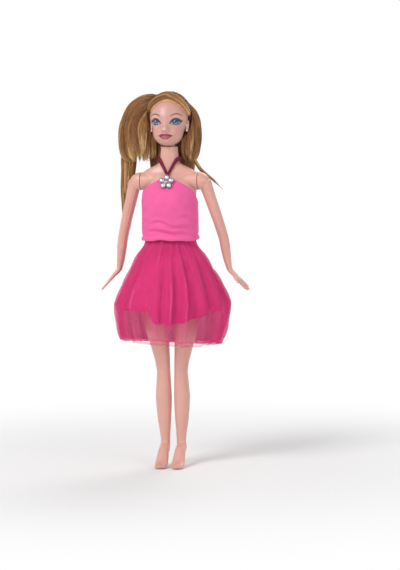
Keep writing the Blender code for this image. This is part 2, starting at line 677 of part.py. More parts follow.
def make_neck_knob(parent, material):
    """The knob that turns in the neck and that the head nods on."""
    knob_low = NECK_TOP_Z + KNOB_RISE
    knob_high = knob_low + KNOB_LENGTH
    foot = stem_foot_z()
    rest = NECK_TOP_Z + SEAT_GAP
    profile = [
        (0.0, knob_high), (KNOB_RADIUS - KNOB_LENGTH / 2, knob_high), (KNOB_RADIUS, knob_high - KNOB_LENGTH / 2),
        (KNOB_RADIUS, knob_low), (COLLAR_RADIUS, knob_low), (COLLAR_RADIUS, rest), (STEM_RADIUS, rest),
        (STEM_RADIUS, foot + STEM_FOOT_LENGTH), (STEM_FOOT_RADIUS, foot + STEM_FOOT_LENGTH),
        (STEM_FOOT_RADIUS, foot), (0.0, foot),
    ]
    put(turned("neck_knob", profile, 20), PARTS, material, parent)


# Legs


def leg_rows(side):
    """The leg's sections from the hip to the toes: centre, then half width and half depth."""
    thigh = [KNEE_Z + THIGH_LENGTH * share for share in THIGH_Z_SHARES]
    rows = [
        (UPPER_THIGH_X, 0.0, HIP_Z, UPPER_THIGH_HALF_WIDTH - SEAT_GAP, HIP_RADIUS - SEAT_GAP),
        (UPPER_THIGH_X, 0.0, thigh[0], UPPER_THIGH_HALF_WIDTH, UPPER_THIGH_HALF_DEPTH),
        (THIGH_X, 0.0, thigh[1], THIGH_HALF_WIDTH, THIGH_HALF_DEPTH),
        (LOWER_THIGH_X, 0.0, thigh[2], LOWER_THIGH_HALF_WIDTH, LOWER_THIGH_HALF_DEPTH),
        (KNEE_TOP_X, 0.0, thigh[3], KNEE_TOP_HALF_WIDTH, KNEE_TOP_HALF_DEPTH),
        (KNEE_X, 0.0, KNEE_Z, KNEE_HALF_WIDTH, KNEE_HALF_DEPTH),
        (CALF_X, CALF_Y, ANKLE_HEIGHT + SHIN_LENGTH * CALF_RISE_SHARE, CALF_HALF_WIDTH, CALF_HALF_DEPTH),
        (SHIN_X, SHIN_Y, ANKLE_HEIGHT + SHIN_LENGTH * SHIN_RISE_SHARE, SHIN_HALF_WIDTH, SHIN_HALF_DEPTH),
        (ANKLE_X, ANKLE_Y, ANKLE_HEIGHT, ANKLE_HALF_WIDTH, ANKLE_HALF_DEPTH),
        (FOOT_X, HEEL_Y, HEEL_Z, HEEL_HALF_WIDTH, HEEL_HALF_DEPTH),
        (FOOT_X, -INSTEP_Y, INSTEP_Z, INSTEP_HALF_WIDTH, INSTEP_HALF_DEPTH),
        (FOOT_X, -BALL_Y, BALL_Z, BALL_HALF_WIDTH, BALL_HALF_DEPTH),
        (FOOT_X, -TOE_Y, TOE_Z, TOE_HALF_WIDTH, TOE_HALF_DEPTH),
    ]
    return [(side * x, y, z, w, d) for x, y, z, w, d in rows]


def leg_form(side, count, steps):
    """The leg's skin from the hip to the toes, flat under the ball of the foot."""
    sections = through(leg_rows(side), steps)
    tangents = np.gradient(sections[:, :3], axis=0)
    rings = []
    for section, tangent in zip(sections, tangents):
        rings.append(square_ring(section[:3], tangent, np.array([1.0, 0.0, 0.0]), section[3], section[4], count))
    tip = rings[-1].mean(axis=0) + np.array([0.0, -TOE_TIP, 0.0])
    rings.append(tip + (rings[-1] - rings[-1].mean(axis=0)) / 2)
    for ring in rings:
        ring[:, 2] = np.maximum(ring[:, 2], 0.0)
    return rings


def drum_profile():
    """The round top of a leg, from its outer end in to its flat face, as (radius, distance from the mid-plane)."""
    face = WEB_HALF_WIDTH + JOINT_GAP
    end = face + DRUM_LENGTH
    rows = [(0.0, end)]
    steps = 6
    for k in range(1, steps + 1):
        angle = math.pi / 2 * k / steps
        rows.append((HIP_RADIUS - DRUM_ROUND + DRUM_ROUND * math.sin(angle), end - DRUM_ROUND * (1 - math.cos(angle))))
    return rows + [(HIP_RADIUS, face), (0.0, face)]


def side_item(item, side):
    """Turn a body that was turned about +X to the doll's left, or mirror it to its right."""
    if side < 0:
        item.rotation_euler = (0.0, -math.pi / 2, 0.0)
    return item


def make_leg(side, name, parent, material):
    """A leg with its hip drum, and the bore and chamber that hold the hip rod's head."""
    item = piece(name, loft(name, leg_form(side, LEG_SEGMENTS, LEG_STEPS)), material, parent)
    drum = side_item(turned(f"{name}_drum", drum_profile(), 24, "X"), side)
    drum.location = (0.0, 0.0, HIP_Z)
    combine(item, guide(drum), "UNION")
    head_near, head_far = ROD_HALF_LENGTH - ROD_HEAD_LENGTH - JOINT_GAP, ROD_HALF_LENGTH + JOINT_GAP
    bore_radius, chamber_radius = ROD_RADIUS + SEAT_GAP, ROD_HEAD_RADIUS + SEAT_GAP
    chamber = [(0.0, head_far), (chamber_radius, head_far), (chamber_radius, head_near), (bore_radius, head_near),
               (bore_radius, -CUT_OVERRUN), (0.0, -CUT_OVERRUN)]
    cut = side_item(turned(f"{name}_rod_room", chamber, 16, "X"), side)
    cut.location = (0.0, 0.0, HIP_Z)
    combine(item, guide(cut), "DIFFERENCE")


# Arms


def arm_line(side):
    """Points and sizes down the arm from the shoulder to the knuckles, before it swings back."""
    def stretch(start, length, splay, bend):
        return start + length * np.array([side * math.sin(splay), -math.sin(bend), -math.cos(splay)])

    top = np.array([side * (SHOULDER_HALF_WIDTH + ARM_X), 0.0, SHOULDER_Z])
    elbow = stretch(top, UPPER_ARM_LENGTH, UPPER_ARM_SPLAY, 0.0)
    wrist = stretch(elbow, FOREARM_LENGTH, FOREARM_SPLAY, ELBOW_BEND)
    knuckles = stretch(wrist, PALM_LENGTH, HAND_SPLAY, ELBOW_BEND)
    return top, elbow, wrist, knuckles


def arm_rows(side):
    """The arm's sections: centre, half width seen from in front, and half depth."""
    top, elbow, wrist, knuckles = arm_line(side)
    palm = (wrist + knuckles) / 2
    return [
        (*top, DELTOID_RADIUS, DELTOID_RADIUS),
        (*(top + (elbow - top) / 3), UPPER_ARM_RADIUS, UPPER_ARM_RADIUS),
        (*elbow, ELBOW_RADIUS, ELBOW_RADIUS),
        (*(elbow + (wrist - elbow) / 3), FOREARM_RADIUS, FOREARM_RADIUS),
        (*wrist, WRIST_HALF_WIDTH, WRIST_HALF_DEPTH),
        (*palm, PALM_HALF_THICKNESS, PALM_HALF_BREADTH),
        (*knuckles, KNUCKLE_HALF_THICKNESS, KNUCKLE_HALF_BREADTH),
    ]


def arm_form(side, count, steps):
    """The arm's skin from the shoulder to the knuckles."""
    sections = through(arm_rows(side), steps)
    tangents = np.gradient(sections[:, :3], axis=0)
    return [square_ring(s[:3], t, np.array([1.0, 0.0, 0.0]), s[3], s[4], count) for s, t in zip(sections, tangents)]


def finger_rings(root, direction, length, radius, count):
    """A finger: a tapering rod with a rounded tip."""
    width_axis = np.array([0.0, 1.0, 0.0])
    reach_shares = (-0.2, 0.45, 0.88, 1.0)
    radius_shares = (1.0, 0.92, 0.72, 0.3)
    rings = []
    for reach, size in zip(reach_shares, radius_shares):
        centre = root + direction * length * reach
        rings.append(square_ring(centre, direction, width_axis, radius * size, radius * size, count))
    return rings


def fingers(side):
    """The four fingers and the thumb of one hand, as (name, rings)."""
    top, elbow, wrist, knuckles = arm_line(side)
    direction = (knuckles - wrist) / np.linalg.norm(knuckles - wrist)
    breadth = np.array([0.0, 1.0, 0.0])
    made = []
    for k, share in enumerate(FINGER_LENGTH_SHARES):
        place = k - (len(FINGER_LENGTH_SHARES) - 1) / 2
        fan = FINGER_FAN * place
        root = knuckles + breadth * FINGER_PITCH * place
        line = direction * math.cos(fan) + breadth * math.sin(fan)
        made.append((f"finger_{k + 1}", finger_rings(root, line, FINGER_LENGTH * share, FINGER_RADIUS, FINGER_SEGMENTS)))
    root = (wrist + knuckles) / 2 - breadth * (PALM_HALF_BREADTH - THUMB_RADIUS)
    line = direction * math.cos(THUMB_ANGLE) - breadth * math.sin(THUMB_ANGLE)
    made.append(("thumb", finger_rings(root, line, THUMB_LENGTH, THUMB_RADIUS, FINGER_SEGMENTS)))
    return made


def peg_head_end():
    """The inner end of an arm's peg, from the mid-plane."""
    return SHOULDER_HALF_WIDTH - PEG_LENGTH


def peg_profile():
    """The arm's shoulder cap and its peg, from the outer end in, as (radius, distance from the mid-plane)."""
    face = SHOULDER_HALF_WIDTH + JOINT_GAP
    rows = [(0.0, face + SHOULDER_CAP)]
    steps = 6
    for k in range(1, steps + 1):
        angle = math.pi / 2 * k / steps
        rows.append((SHOULDER_RADIUS * math.sin(angle), face + SHOULDER_CAP * math.cos(angle)))
    end = peg_head_end()
    return rows + [(PEG_RADIUS, face), (PEG_RADIUS, end), (PEG_HEAD_RADIUS, end),
                   (PEG_HEAD_RADIUS - PEG_HEAD_LENGTH / 2, end - PEG_HEAD_LENGTH), (0.0, end - PEG_HEAD_LENGTH)]


def swing(item, centre):
    """Swing an arm's shape back about its shoulder."""
    turn = Matrix.Rotation(ARM_SWING, 4, "X")
    item.data.transform(Matrix.Translation(centre) @ turn @ Matrix.Translation(-centre))
    return item


def make_arm(side, name, parent, material):
    """An arm with its shoulder cap, peg and hand."""
    centre = Vector((0.0, 0.0, SHOULDER_Z))
    item = swing(piece(name, loft(name, arm_form(side, ARM_SEGMENTS, ARM_STEPS)), material, parent), centre)
    peg = side_item(turned(f"{name}_peg", peg_profile(), 20, "X"), side)
    peg.location = centre
    combine(item, guide(peg), "UNION")
    for part, rings in fingers(side):
        shape = bpy.data.objects.new(f"{name}_{part}", loft(part, rings))
        combine(item, guide(swing(shape, centre)), "UNION")


# Head


def head_directions(around, up):
    """Unit directions from the head's centre."""
    return np.stack([np.cos(up) * np.cos(around), np.cos(up) * np.sin(around), np.sin(up)], axis=-1)


def egg_reach(direction, centre, radii):
    """How far an egg's surface lies from the head's centre along a direction."""
    d, c = direction / radii, -np.asarray(centre) / radii
    a, b, k = (d * d).sum(-1), (d * c).sum(-1), (c * c).sum(-1) - 1
    return (-b + np.sqrt(b * b - a * k)) / a


def head_points(around, up, lift=0.0):
    """Points of the head's skin in the directions given, with the face's forms, lifted by a distance."""
    direction = head_directions(around, up)
    skull = egg_reach(direction, (0.0, SKULL_Y, SKULL_RISE), (SKULL_HALF_WIDTH, SKULL_HALF_DEPTH, SKULL_HALF_HEIGHT))
    jaw = egg_reach(direction, (0.0, JAW_Y, -JAW_DROP), (JAW_HALF_WIDTH, JAW_HALF_DEPTH, JAW_HALF_HEIGHT))
    size = max(SKULL_HALF_HEIGHT, SKULL_HALF_DEPTH)
    reach = ((skull / size) ** HEAD_BLEND + (jaw / size) ** HEAD_BLEND) ** (1 / HEAD_BLEND) * size
    points = direction * (reach + lift)[..., None]
    x, y, z = points[..., 0].copy(), points[..., 1].copy(), points[..., 2].copy()
    facing = np.clip(-y / JAW_HALF_DEPTH, 0.0, 1.0)
    forms = [(1, shares) for shares in MIDDLE_SHARES.values()]
    forms += [(side, shares) for shares in PAIRED_SHARES.values() for side in (1, -1)]
    for side, shares in forms:
        across, high, wide, tall, rise = (FACE_SIZE * share for share in shares)
        bump = np.exp(-(((x - side * across) / wide) ** 2 + ((z - high) / tall) ** 2) / 2)
        points[..., 1] -= rise * bump * facing
    back, high, long, tall, rise = (FACE_SIZE * share for share in EAR_SHARES)
    ear = np.exp(-(((y - back) / long) ** 2 + ((z - high) / tall) ** 2) / 2)
    points[..., 0] += np.sign(x) * rise * ear * np.clip(np.abs(x) / JAW_HALF_WIDTH, 0.0, 1.0)
    return points + np.array([0.0, 0.0, HEAD_Z])


def around_angles(count, crowd=HEAD_FRONT_CROWD_SHARE):
    """Angles round the head that stand closer together on the face."""
    step = angles(count) - math.pi
    return step - crowd * np.sin(step) - math.pi / 2


def neck_hole():
    """The radius of the hole in the head round the knob's collar, and the height of its rim."""
    return COLLAR_RADIUS + NECK_PLAY, NECK_TOP_Z + NECK_PLAY


def head_low_angle():
    """The lowest direction of the head's skin, at the rim of its neck hole."""
    radius, rim = neck_hole()
    return -math.atan2(HEAD_Z - rim, radius + HEAD_WALL)


def head_solid(lift=0.0, count=HEAD_SEGMENTS, rows=HEAD_ROWS):
    """The closed outer form of the head."""
    around = around_angles(count)
    rises = np.linspace(head_low_angle(), math.pi / 2, rows)[:-1]
    rings = [head_points(around, np.full(count, rise), lift) for rise in rises]
    top = rings[-1].mean(axis=0)
    top[2] = head_points(np.array([0.0]), np.array([math.pi / 2]), lift)[0][2]
    points = np.concatenate(rings + [top[None, :]])
    faces = ring_faces(len(rings), count)
    faces.append(tuple(range(count)))
    last = (len(rings) - 1) * count
    faces += [(last + k, last + (k + 1) % count, len(points) - 1) for k in range(count)]
    return mesh_from("head_form", points, faces)


def make_head(parent, material):
    """The hollow vinyl head, open at the neck."""
    item = piece("head_shell", head_solid(), material, parent)
    radii = (SKULL_HALF_WIDTH - HEAD_WALL, SKULL_HALF_DEPTH - HEAD_WALL, SKULL_HALF_HEIGHT - HEAD_WALL)
    combine(item, egg_guide("skull_hollow", (0.0, SKULL_Y, HEAD_Z + SKULL_RISE), radii), "DIFFERENCE")
    hole, rim = neck_hole()
    floor = NECK_TOP_Z + KNOB_RISE - NECK_PLAY
    room = KNOB_RADIUS + NECK_PLAY
    profile = [(0.0, HEAD_Z), (room, HEAD_Z), (room, floor), (hole, floor), (hole, rim - CUT_OVERRUN),
               (0.0, rim - CUT_OVERRUN)]
    combine(item, turned_guide("knob_room", profile, "Z", 0.0), "DIFFERENCE")


def cap_solid(name, edge_rise, thickness, around):
    """A closed cap over the top of the head, from an edge whose direction follows the hairline."""
    count = len(around)
    outer, inner = [], []
    for k in range(CROWN_ROWS):
        way = k / CROWN_ROWS
        rise = edge_rise + (math.pi / 2 - edge_rise) * way
        swell = math.sqrt(1 - (1 - min(1.0, way * 3)) ** 2)
        outer.append(head_points(around, rise, HAIR_SEAT + thickness * (1 + 3 * swell) / 4))
        inner.append(head_points(around, rise, HAIR_SEAT))
    pole = np.array([math.pi / 2])
    tops = [head_points(pole, pole, HAIR_SEAT + thickness), head_points(pole, pole, HAIR_SEAT)]
    points = np.concatenate(outer + inner + tops)
    size = CROWN_ROWS * count
    faces = ring_faces(CROWN_ROWS, count)
    faces += [tuple(size + v for v in reversed(face)) for face in ring_faces(CROWN_ROWS, count)]
    last = (CROWN_ROWS - 1) * count
    for k in range(count):
        n = (k + 1) % count
        faces.append((last + k, last + n, 2 * size))
        faces.append((size + last + n, size + last + k, 2 * size + 1))
        faces.append((n, k, size + k, size + n))
    return mesh_from(name, points, faces)


def hairline(around):
    """The rise of the crown's edge at angles round the head, alike on both sides."""
    rises = between(HAIRLINE_DEPTH_SHARES, [[rise] for rise in HAIRLINE_RISES], np.sin(around))[:, 0]
    return np.radians(rises)


def make_crown(parent, material):
    """The rooted hair that lies on the skull."""
    around = angles(CROWN_SEGMENTS)
    piece("hair_crown", cap_solid("hair_crown", hairline(around), CROWN_THICKNESS, around), material, parent)


def make_front_band(parent, material):
    """The thick band of hair swept along the hairline from temple to ear."""
    around = np.radians(np.linspace(BAND_START, BAND_END, BAND_ROWS))
    drop = (BAND_RADIUS + HAIR_SEAT) / SKULL_HALF_HEIGHT
    rise = hairline(around) - drop
    way = np.linspace(0.0, 1.0, BAND_ROWS)
    radii = BAND_RADIUS * (BAND_END_SHARE + (1 - BAND_END_SHARE) * np.sin(math.pi * way) ** (1 / 2))
    centres = np.array([head_points(np.array([a]), np.array([e]), r + 2 * SEAT_GAP)[0]
                        for a, e, r in zip(around, rise, radii)])
    tangents = np.gradient(centres, axis=0)
    out = centres - np.array([0.0, 0.0, HEAD_Z])
    rings = [square_ring(c, t, o, r, r, BAND_SEGMENTS) for c, t, o, r in zip(centres, tangents, out, radii)]
    piece("hair_front_band", loft("hair_front_band", rings), material, parent)


def lock_rings(shares, swell=0.0):
    """The sections of a lock of hair from its table of shares, swollen by a margin."""
    rows = []
    for across, back, drop, width, depth in shares:
        rows.append((across * HAIR_SPREAD, back * HAIR_DEPTH, hair_top() - hair_drop(drop),
                     width * HAIR_SPREAD + swell, depth * HAIR_DEPTH + swell))
    sections = along(rows, LOCK_ROWS)
    tangents = np.gradient(sections[:, :3], axis=0)
    axis = np.array([1.0, 0.0, 0.0])
    rings = [square_ring(s[:3], t, axis, s[3], s[4], LOCK_SEGMENTS) for s, t in zip(sections, tangents)]
    if swell:
        for ring, tangent, way in ((rings[0], tangents[0], -swell), (rings[-1], tangents[-1], swell)):
            ring += tangent / np.linalg.norm(tangent) * way
    return rings


def hair_drop(share):
    """How far below the hair's top a place down the locks lies: over the head first, then in the hanging length."""
    over = min(share, OVER_HEAD_SHARE) / OVER_HEAD_SHARE
    hanging = max(0.0, share - OVER_HEAD_SHARE) / (1 - OVER_HEAD_SHARE)
    return over * HAIR_OVER_HEAD + hanging * (HAIR_LENGTH - HAIR_OVER_HEAD)


def hair_top():
    """The height of the top of the hair."""
    return HEAD_Z + SKULL_RISE + SKULL_HALF_HEIGHT + CROWN_THICKNESS


def make_locks(parent, material):
    """The hair that hangs behind and beside the head, each lock cut to clear what it lies on."""
    room = guide(bpy.data.objects.new("head_room", head_solid(HAIR_SEAT + CROWN_THICKNESS + HAIR_CLEARANCE, CROWN_SEGMENTS)))
    rooms = {"head": room}
    for name, (shares, rests_on) in LOCKS.items():
        item = piece(name, loft(name, lock_rings(shares)), material, parent)
        item.modifiers.new("flat faces", "TRIANGULATE")
        for other in rests_on:
            combine(item, rooms[other], "DIFFERENCE")
        item.modifiers.new("weld", "WELD").merge_threshold = HAIR_WELD
        room = loft(f"{name}_room", lock_rings(shares, 2 * SEAT_GAP))
        rooms[name] = guide(bpy.data.objects.new(f"{name}_room", room))


# Dress


def reach_at(turn, half_width, front, back):
    """How far an elliptical section reaches from the middle in a direction."""
    depth = np.where(np.sin(turn) < 0, front, back)
    return 1 / np.sqrt((np.cos(turn) / half_width) ** 2 + (np.sin(turn) / depth) ** 2)


def layer_top(layer):
    """How far a skirt layer's inner face stands from the torso at the waistband."""
    return SEAT_GAP + WAISTBAND_THICKNESS + SEAT_GAP + layer * LAYER_STEP


def bodice_top(turn):
    """The height of the bodice's top edge at angles round the body: an arch in front, level behind."""
    side = BUST_Z - BODICE_SIDE_DROP
    return side + (SHOULDER_Z + BODICE_FRONT_RISE - side) * np.clip(-np.sin(turn), 0.0, 1.0)


def bodice_size(z):
    """Half width, front and back of the bodice's inner face: snug above the bust, a straight tube below it."""
    snug = SEAT_GAP + BODICE_EASE
    hem = torso_size(BODICE_HEM_Z) + layer_top(3) + SEAT_GAP
    level = max(z, BUST_Z)
    half_width, front, back = torso_size(level) + snug
    mound = BREAST_LIFT * math.exp(-((level - BUST_Z) / BREAST_SPREAD) ** 2 / 2)
    front = (front + mound) / math.sqrt(1 - (BREAST_X / half_width) ** 2)
    way = np.clip((BUST_Z - z) / (BUST_Z - BODICE_HEM_Z), 0.0, 1.0)
    ease = way * way * (3 - 2 * way)
    return np.array([half_width, front, back]) * (1 - ease) + hem * ease


def bodice_grid(turns, offset):
    """A grid of points on the bodice, from its hem up to its top edge."""
    top = bodice_top(turns)
    grid = []
    for way in np.linspace(0.0, 1.0, BODICE_ROWS):
        row = []
        for turn, high in zip(turns, top):
            z = BODICE_HEM_Z + (high - BODICE_HEM_Z) * way
            half_width, front, back = bodice_size(z) + offset
            crease = BODICE_CREASE * math.sin(BODICE_CREASES * turn + way * math.pi) * math.sin(math.pi * way) ** 2
            depth = (front if math.sin(turn) < 0 else back) + max(crease, 0.0)
            row.append((half_width * math.cos(turn), depth * math.sin(turn), z))
        grid.append(np.array(row))
    return grid


def make_bodice(parent, material):
    """The bodice, open down the back."""
    half = BODICE_SLIT / 2 / torso_size(WAIST_Z)[0]
    turns = np.linspace(math.pi / 2 + half, math.pi * 5 / 2 - half, BODICE_SEGMENTS)
    piece("bodice", sheet_solid("bodice", bodice_grid(turns, CLOTH), bodice_grid(turns, 0.0)), material, parent)


def make_closure(parent, cloth, tape):
    """The tape and the placket over it that close the bodice's back."""
    strips = (
        ("closure_tape", TAPE_WIDTH, TAPE_THICKNESS, CLOTH + BODICE_CREASE + SEAT_GAP, tape),
        ("back_placket", PLACKET_WIDTH, PLACKET_THICKNESS,
         CLOTH + BODICE_CREASE + TAPE_THICKNESS + 2 * SEAT_GAP, cloth),
    )
    for name, width, thickness, offset, material in strips:
        outer, inner = [], []
        for z in np.linspace(BODICE_HEM_Z, BUST_Z - BODICE_SIDE_DROP, BODICE_ROWS):
            half_width, _, back = bodice_size(z)
            xs = np.linspace(-width / 2, width / 2, 5)
            bow = np.sqrt(1 - (xs / half_width) ** 2)
            inner.append(np.stack([xs, back * bow + offset, np.full(5, z)], axis=1))
            outer.append(np.stack([xs, back * bow + offset + thickness, np.full(5, z)], axis=1))
        piece(name, sheet_solid(name, outer, inner), material, parent)


def make_waistband(parent, material):
    """The elastic band that the skirt's layers are sewn to."""
    outer, inner = [], []
    for z in np.linspace(WAISTBAND_TOP_Z, WAISTBAND_TOP_Z - BAND_HEIGHT, WAISTBAND_ROWS):
        for rings, offset in ((inner, SEAT_GAP), (outer, SEAT_GAP + WAISTBAND_THICKNESS)):
            half_width, front, back = torso_size(z) + offset
            rings.append(level_ring(z, half_width, front, back, TORSO_SEGMENTS))
    piece("skirt_waistband", shell("skirt_waistband", outer, inner), material, parent)


def skirt_drops(layer):
    """How far down each row of a skirt layer lies, as shares of the outer net's length, alike in every layer."""
    end = (LINING_LENGTH_SHARE, INNER_NET_LENGTH_SHARE, 1.0)[layer]
    shared = np.linspace(0.0, 1.0, SKIRT_ROWS) ** SKIRT_ROW_POWER
    return [drop for drop in shared if drop < end - SKIRT_LAST_ROW_SHARE] + [end]


def skirt_ring(layer, drop, offset):
    """One ring of a skirt layer, with the folds that deepen towards its hem."""
    share = between(SKIRT_DROP_SHARES, [[s] for s in SKIRT_REACH_SHARES], [drop])[0][0]
    inside = (2 - layer) * LAYER_STEP
    z = WAISTBAND_TOP_Z - drop * NET_LENGTH
    top = torso_size(WAISTBAND_TOP_Z) + layer_top(layer)
    wide = np.array([SKIRT_REACH, SKIRT_DEPTH, SKIRT_DEPTH]) - inside
    clear = torso_size(max(z, WAISTBAND_TOP_Z - BAND_HEIGHT)) + layer_top(layer)
    half_width, front, back = np.maximum(top + (wide - top) * share, clear) + offset
    turn = angles(SKIRT_SEGMENTS)
    fold = 1 + FOLD_DEPTH_SHARE * share * np.cos(FOLD_COUNT * turn)
    depth = np.where(np.sin(turn) < 0, front, back)
    return np.stack([half_width * fold * np.cos(turn), depth * fold * np.sin(turn), np.full(len(turn), z)], axis=1)


def make_skirt(parent, lining, net):
    """The skirt's lining and its two layers of net, gathered at the waistband and hung in folds."""
    layers = (("skirt_lining", CLOTH, lining), ("skirt_inner_net", NET, net), ("skirt_outer_net", NET, net))
    for layer, (name, thickness, material) in enumerate(layers):
        drops = skirt_drops(layer)
        outer = [skirt_ring(layer, drop, thickness) for drop in drops]
        inner = [skirt_ring(layer, drop, 0.0) for drop in drops]
        piece(name, shell(name, outer, inner), material, parent)


def make_strap(parent, material):
    """The ribbon that runs from the bodice's front round the neck in a V."""
    rings = []
    low, high = NECK_BASE_Z - STRAP_DROP, NECK_BASE_Z + STRAP_WIDTH
    for turn in angles(STRAP_STEPS) - math.pi / 2:
        from_front = abs(math.remainder(turn + math.pi / 2, 2 * math.pi))
        way = min(1.0, from_front / STRAP_CLIMB)
        z = low + (high - low) * math.sin(way * math.pi / 2)
        slant = 1 + STRAP_SLANT_SHARE * math.cos(way * math.pi / 2)
        ring = []
        for edge, offset in ((-1, 0), (1, 0), (1, 1), (-1, 1)):
            level = z + edge * STRAP_WIDTH / 2 * slant
            reach = reach_at(turn, *torso_size(level)) + STRAP_GAP + offset * STRAP_THICKNESS
            ring.append((reach * math.cos(turn), reach * math.sin(turn), level))
        rings.append(np.array(ring))
    mesh = mesh_from("halter_strap", np.concatenate(rings), ring_faces(len(rings), 4, closed=True))
    piece("halter_strap", mesh, material, parent)


def flower_reach(turn):
    """How far the flower's edge lies from its middle in a direction, as a share of its radius."""
    petal = abs(math.cos(PETAL_COUNT * turn / 2))
    return 1 - PETAL_NOTCH_SHARE * (1 - petal) ** 2


def make_brooch(parent, material):
    """The five-petalled flower pinned to the bodice's front: a flat back, domed petals and a stud."""
    z = SHOULDER_Z - BROOCH_DROP
    levels = np.linspace(z - BROOCH_RADIUS, z + BROOCH_RADIUS, 9)
    fronts = np.array([bodice_size(level)[1] + CLOTH for level in levels])
    slope = (fronts[-1] - fronts[0]) / (levels[-1] - levels[0])
    middle = max(fronts - slope * (levels - z))
    seat = Matrix.Translation((0.0, -middle - BROOCH_SEAT, z)) @ Matrix.Rotation(math.atan(slope), 4, "X")
    points = []
    for size_share, thick_share in FLOWER_SHARES:
        for turn in angles(BROOCH_SEGMENTS):
            notch = flower_reach(turn) if size_share > BROOCH_STUD_SHARE else 1.0
            reach = BROOCH_RADIUS * size_share * notch
            dip = 1 - (1 - notch) * PETAL_DIP_SHARE
            place = (math.sin(turn) * reach, -BROOCH_THICKNESS * thick_share * dip, math.cos(turn) * reach)
            points.append(seat @ Vector(place))
    rows = len(FLOWER_SHARES)
    faces = ring_faces(rows, BROOCH_SEGMENTS)
    faces.append(tuple(range(BROOCH_SEGMENTS)))
    faces.append(tuple(range((rows - 1) * BROOCH_SEGMENTS, rows * BROOCH_SEGMENTS)))
    piece("flower_brooch", mesh_from("flower_brooch", points, faces), material, parent)


PARTS = None
CUTTERS = None


def main():
    """Build the doll."""
    global PARTS, CUTTERS
    clear_scene()
    PARTS = new_collection("fashion_doll")
    CUTTERS = new_collection("cutters")
    skin = finish("skin_plastic", SKIN, 0.4)
    steel = finish("steel", STEEL, 0.3, 1.0)
    torso = body_empty("torso_body", (0.0, 0.0, WAIST_Z))
    neck = body_empty("neck_body", (0.0, 0.0, NECK_TOP_Z))
    head = body_empty("head_body", (0.0, 0.0, NECK_TOP_Z + NOD_RISE))
    make_torso(torso, skin)
    make_hip_rod(torso, steel)
    make_neck_knob(neck, skin)
    make_head(head, finish("head_vinyl", SKIN, 0.5))
    hair = finish("rooted_hair", HAIR, 0.35)
    make_crown(head, hair)
    make_front_band(head, hair)
    make_locks(head, hair)
    cloth = finish("pink_satin", PINK, 0.55)
    net = finish("pink_net", HOT_PINK, 0.7)
    make_bodice(torso, cloth)
    make_closure(torso, cloth, finish("closure_tape", TAPE_WHITE, 0.8))
    make_waistband(torso, finish("pink_elastic", HOT_PINK, 0.8))
    make_skirt(torso, finish("pink_chiffon", HOT_PINK, 0.6), net)
    make_strap(torso, finish("burgundy_ribbon", BURGUNDY, 0.6))
    make_brooch(torso, finish("silver_plating", SILVER, 0.2, 0.9))
    for side, name in ((1, "left"), (-1, "right")):
        shoulder = body_empty(f"{name}_arm_body", (side * SHOULDER_HALF_WIDTH, 0.0, SHOULDER_Z))
        hip = body_empty(f"{name}_leg_body", (side * WEB_HALF_WIDTH, 0.0, HIP_Z))
        make_arm(side, f"{name}_arm", shoulder, skin)
        make_leg(side, f"{name}_leg", hip, skin)


main()
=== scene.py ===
import math

import bmesh
import bpy
import numpy as np
from mathutils import Matrix, Vector
from mathutils.bvhtree import BVHTree


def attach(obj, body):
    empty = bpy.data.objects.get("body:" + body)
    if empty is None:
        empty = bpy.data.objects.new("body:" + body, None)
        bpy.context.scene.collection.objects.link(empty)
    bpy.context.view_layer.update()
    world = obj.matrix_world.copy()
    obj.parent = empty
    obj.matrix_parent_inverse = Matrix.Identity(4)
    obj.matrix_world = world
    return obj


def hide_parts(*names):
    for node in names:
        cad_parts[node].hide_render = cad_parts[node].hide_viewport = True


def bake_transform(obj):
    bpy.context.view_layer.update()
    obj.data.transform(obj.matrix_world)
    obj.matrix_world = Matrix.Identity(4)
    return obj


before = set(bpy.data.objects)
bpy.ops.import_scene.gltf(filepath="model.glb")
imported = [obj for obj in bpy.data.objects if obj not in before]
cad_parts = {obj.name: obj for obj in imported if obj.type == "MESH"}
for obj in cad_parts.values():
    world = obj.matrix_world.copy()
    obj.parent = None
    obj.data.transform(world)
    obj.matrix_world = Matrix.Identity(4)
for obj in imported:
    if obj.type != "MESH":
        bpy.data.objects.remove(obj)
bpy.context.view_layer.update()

MM = 0.001

# Heights on the doll, in metres
BUST_Z, SHOULDER_Z, HEAD_Z = 0.2085, 0.2224, 0.268


# Camera and light

VIEW_AZIMUTH, VIEW_ELEVATION, VIEW_ROLL = math.radians(10.5), math.radians(4.5), math.radians(-0.72)
VIEW_DISTANCE = 1.7
FRAME_HEIGHT = 0.4450  # what the picture spans at the doll
SENSOR = 36.0
AIM_RIGHT, AIM_Z = 0.0225, 0.141
CLIP_NEAR, CLIP_FAR = 0.05, 20.0
LAMP_AIM = Vector((0.0, 0.0, 0.16))
# Each lamp's place, size and power
LAMPS = {"key": ((-0.8, -1.2, 1.3), 0.8, 18.0), "fill": ((1.2, -1.0, 0.6), 1.0, 5.0),
         "rim": ((0.3, 1.2, 1.1), 0.9, 7.0)}
WHITE = (1.0, 1.0, 1.0, 1.0)
WORLD_SEEN, WORLD_LIGHT = 1.0, 0.40


def stand(name, data, place, way, roll=0.0):
    """A camera or lamp at a place, turned to look along a way."""
    item = bpy.data.objects.new(name, data)
    bpy.context.scene.collection.objects.link(item)
    turn = way.to_track_quat("-Z", "Y").to_matrix().to_4x4() @ Matrix.Rotation(roll, 4, "Z")
    item.matrix_world = Matrix.Translation(place) @ turn
    return item


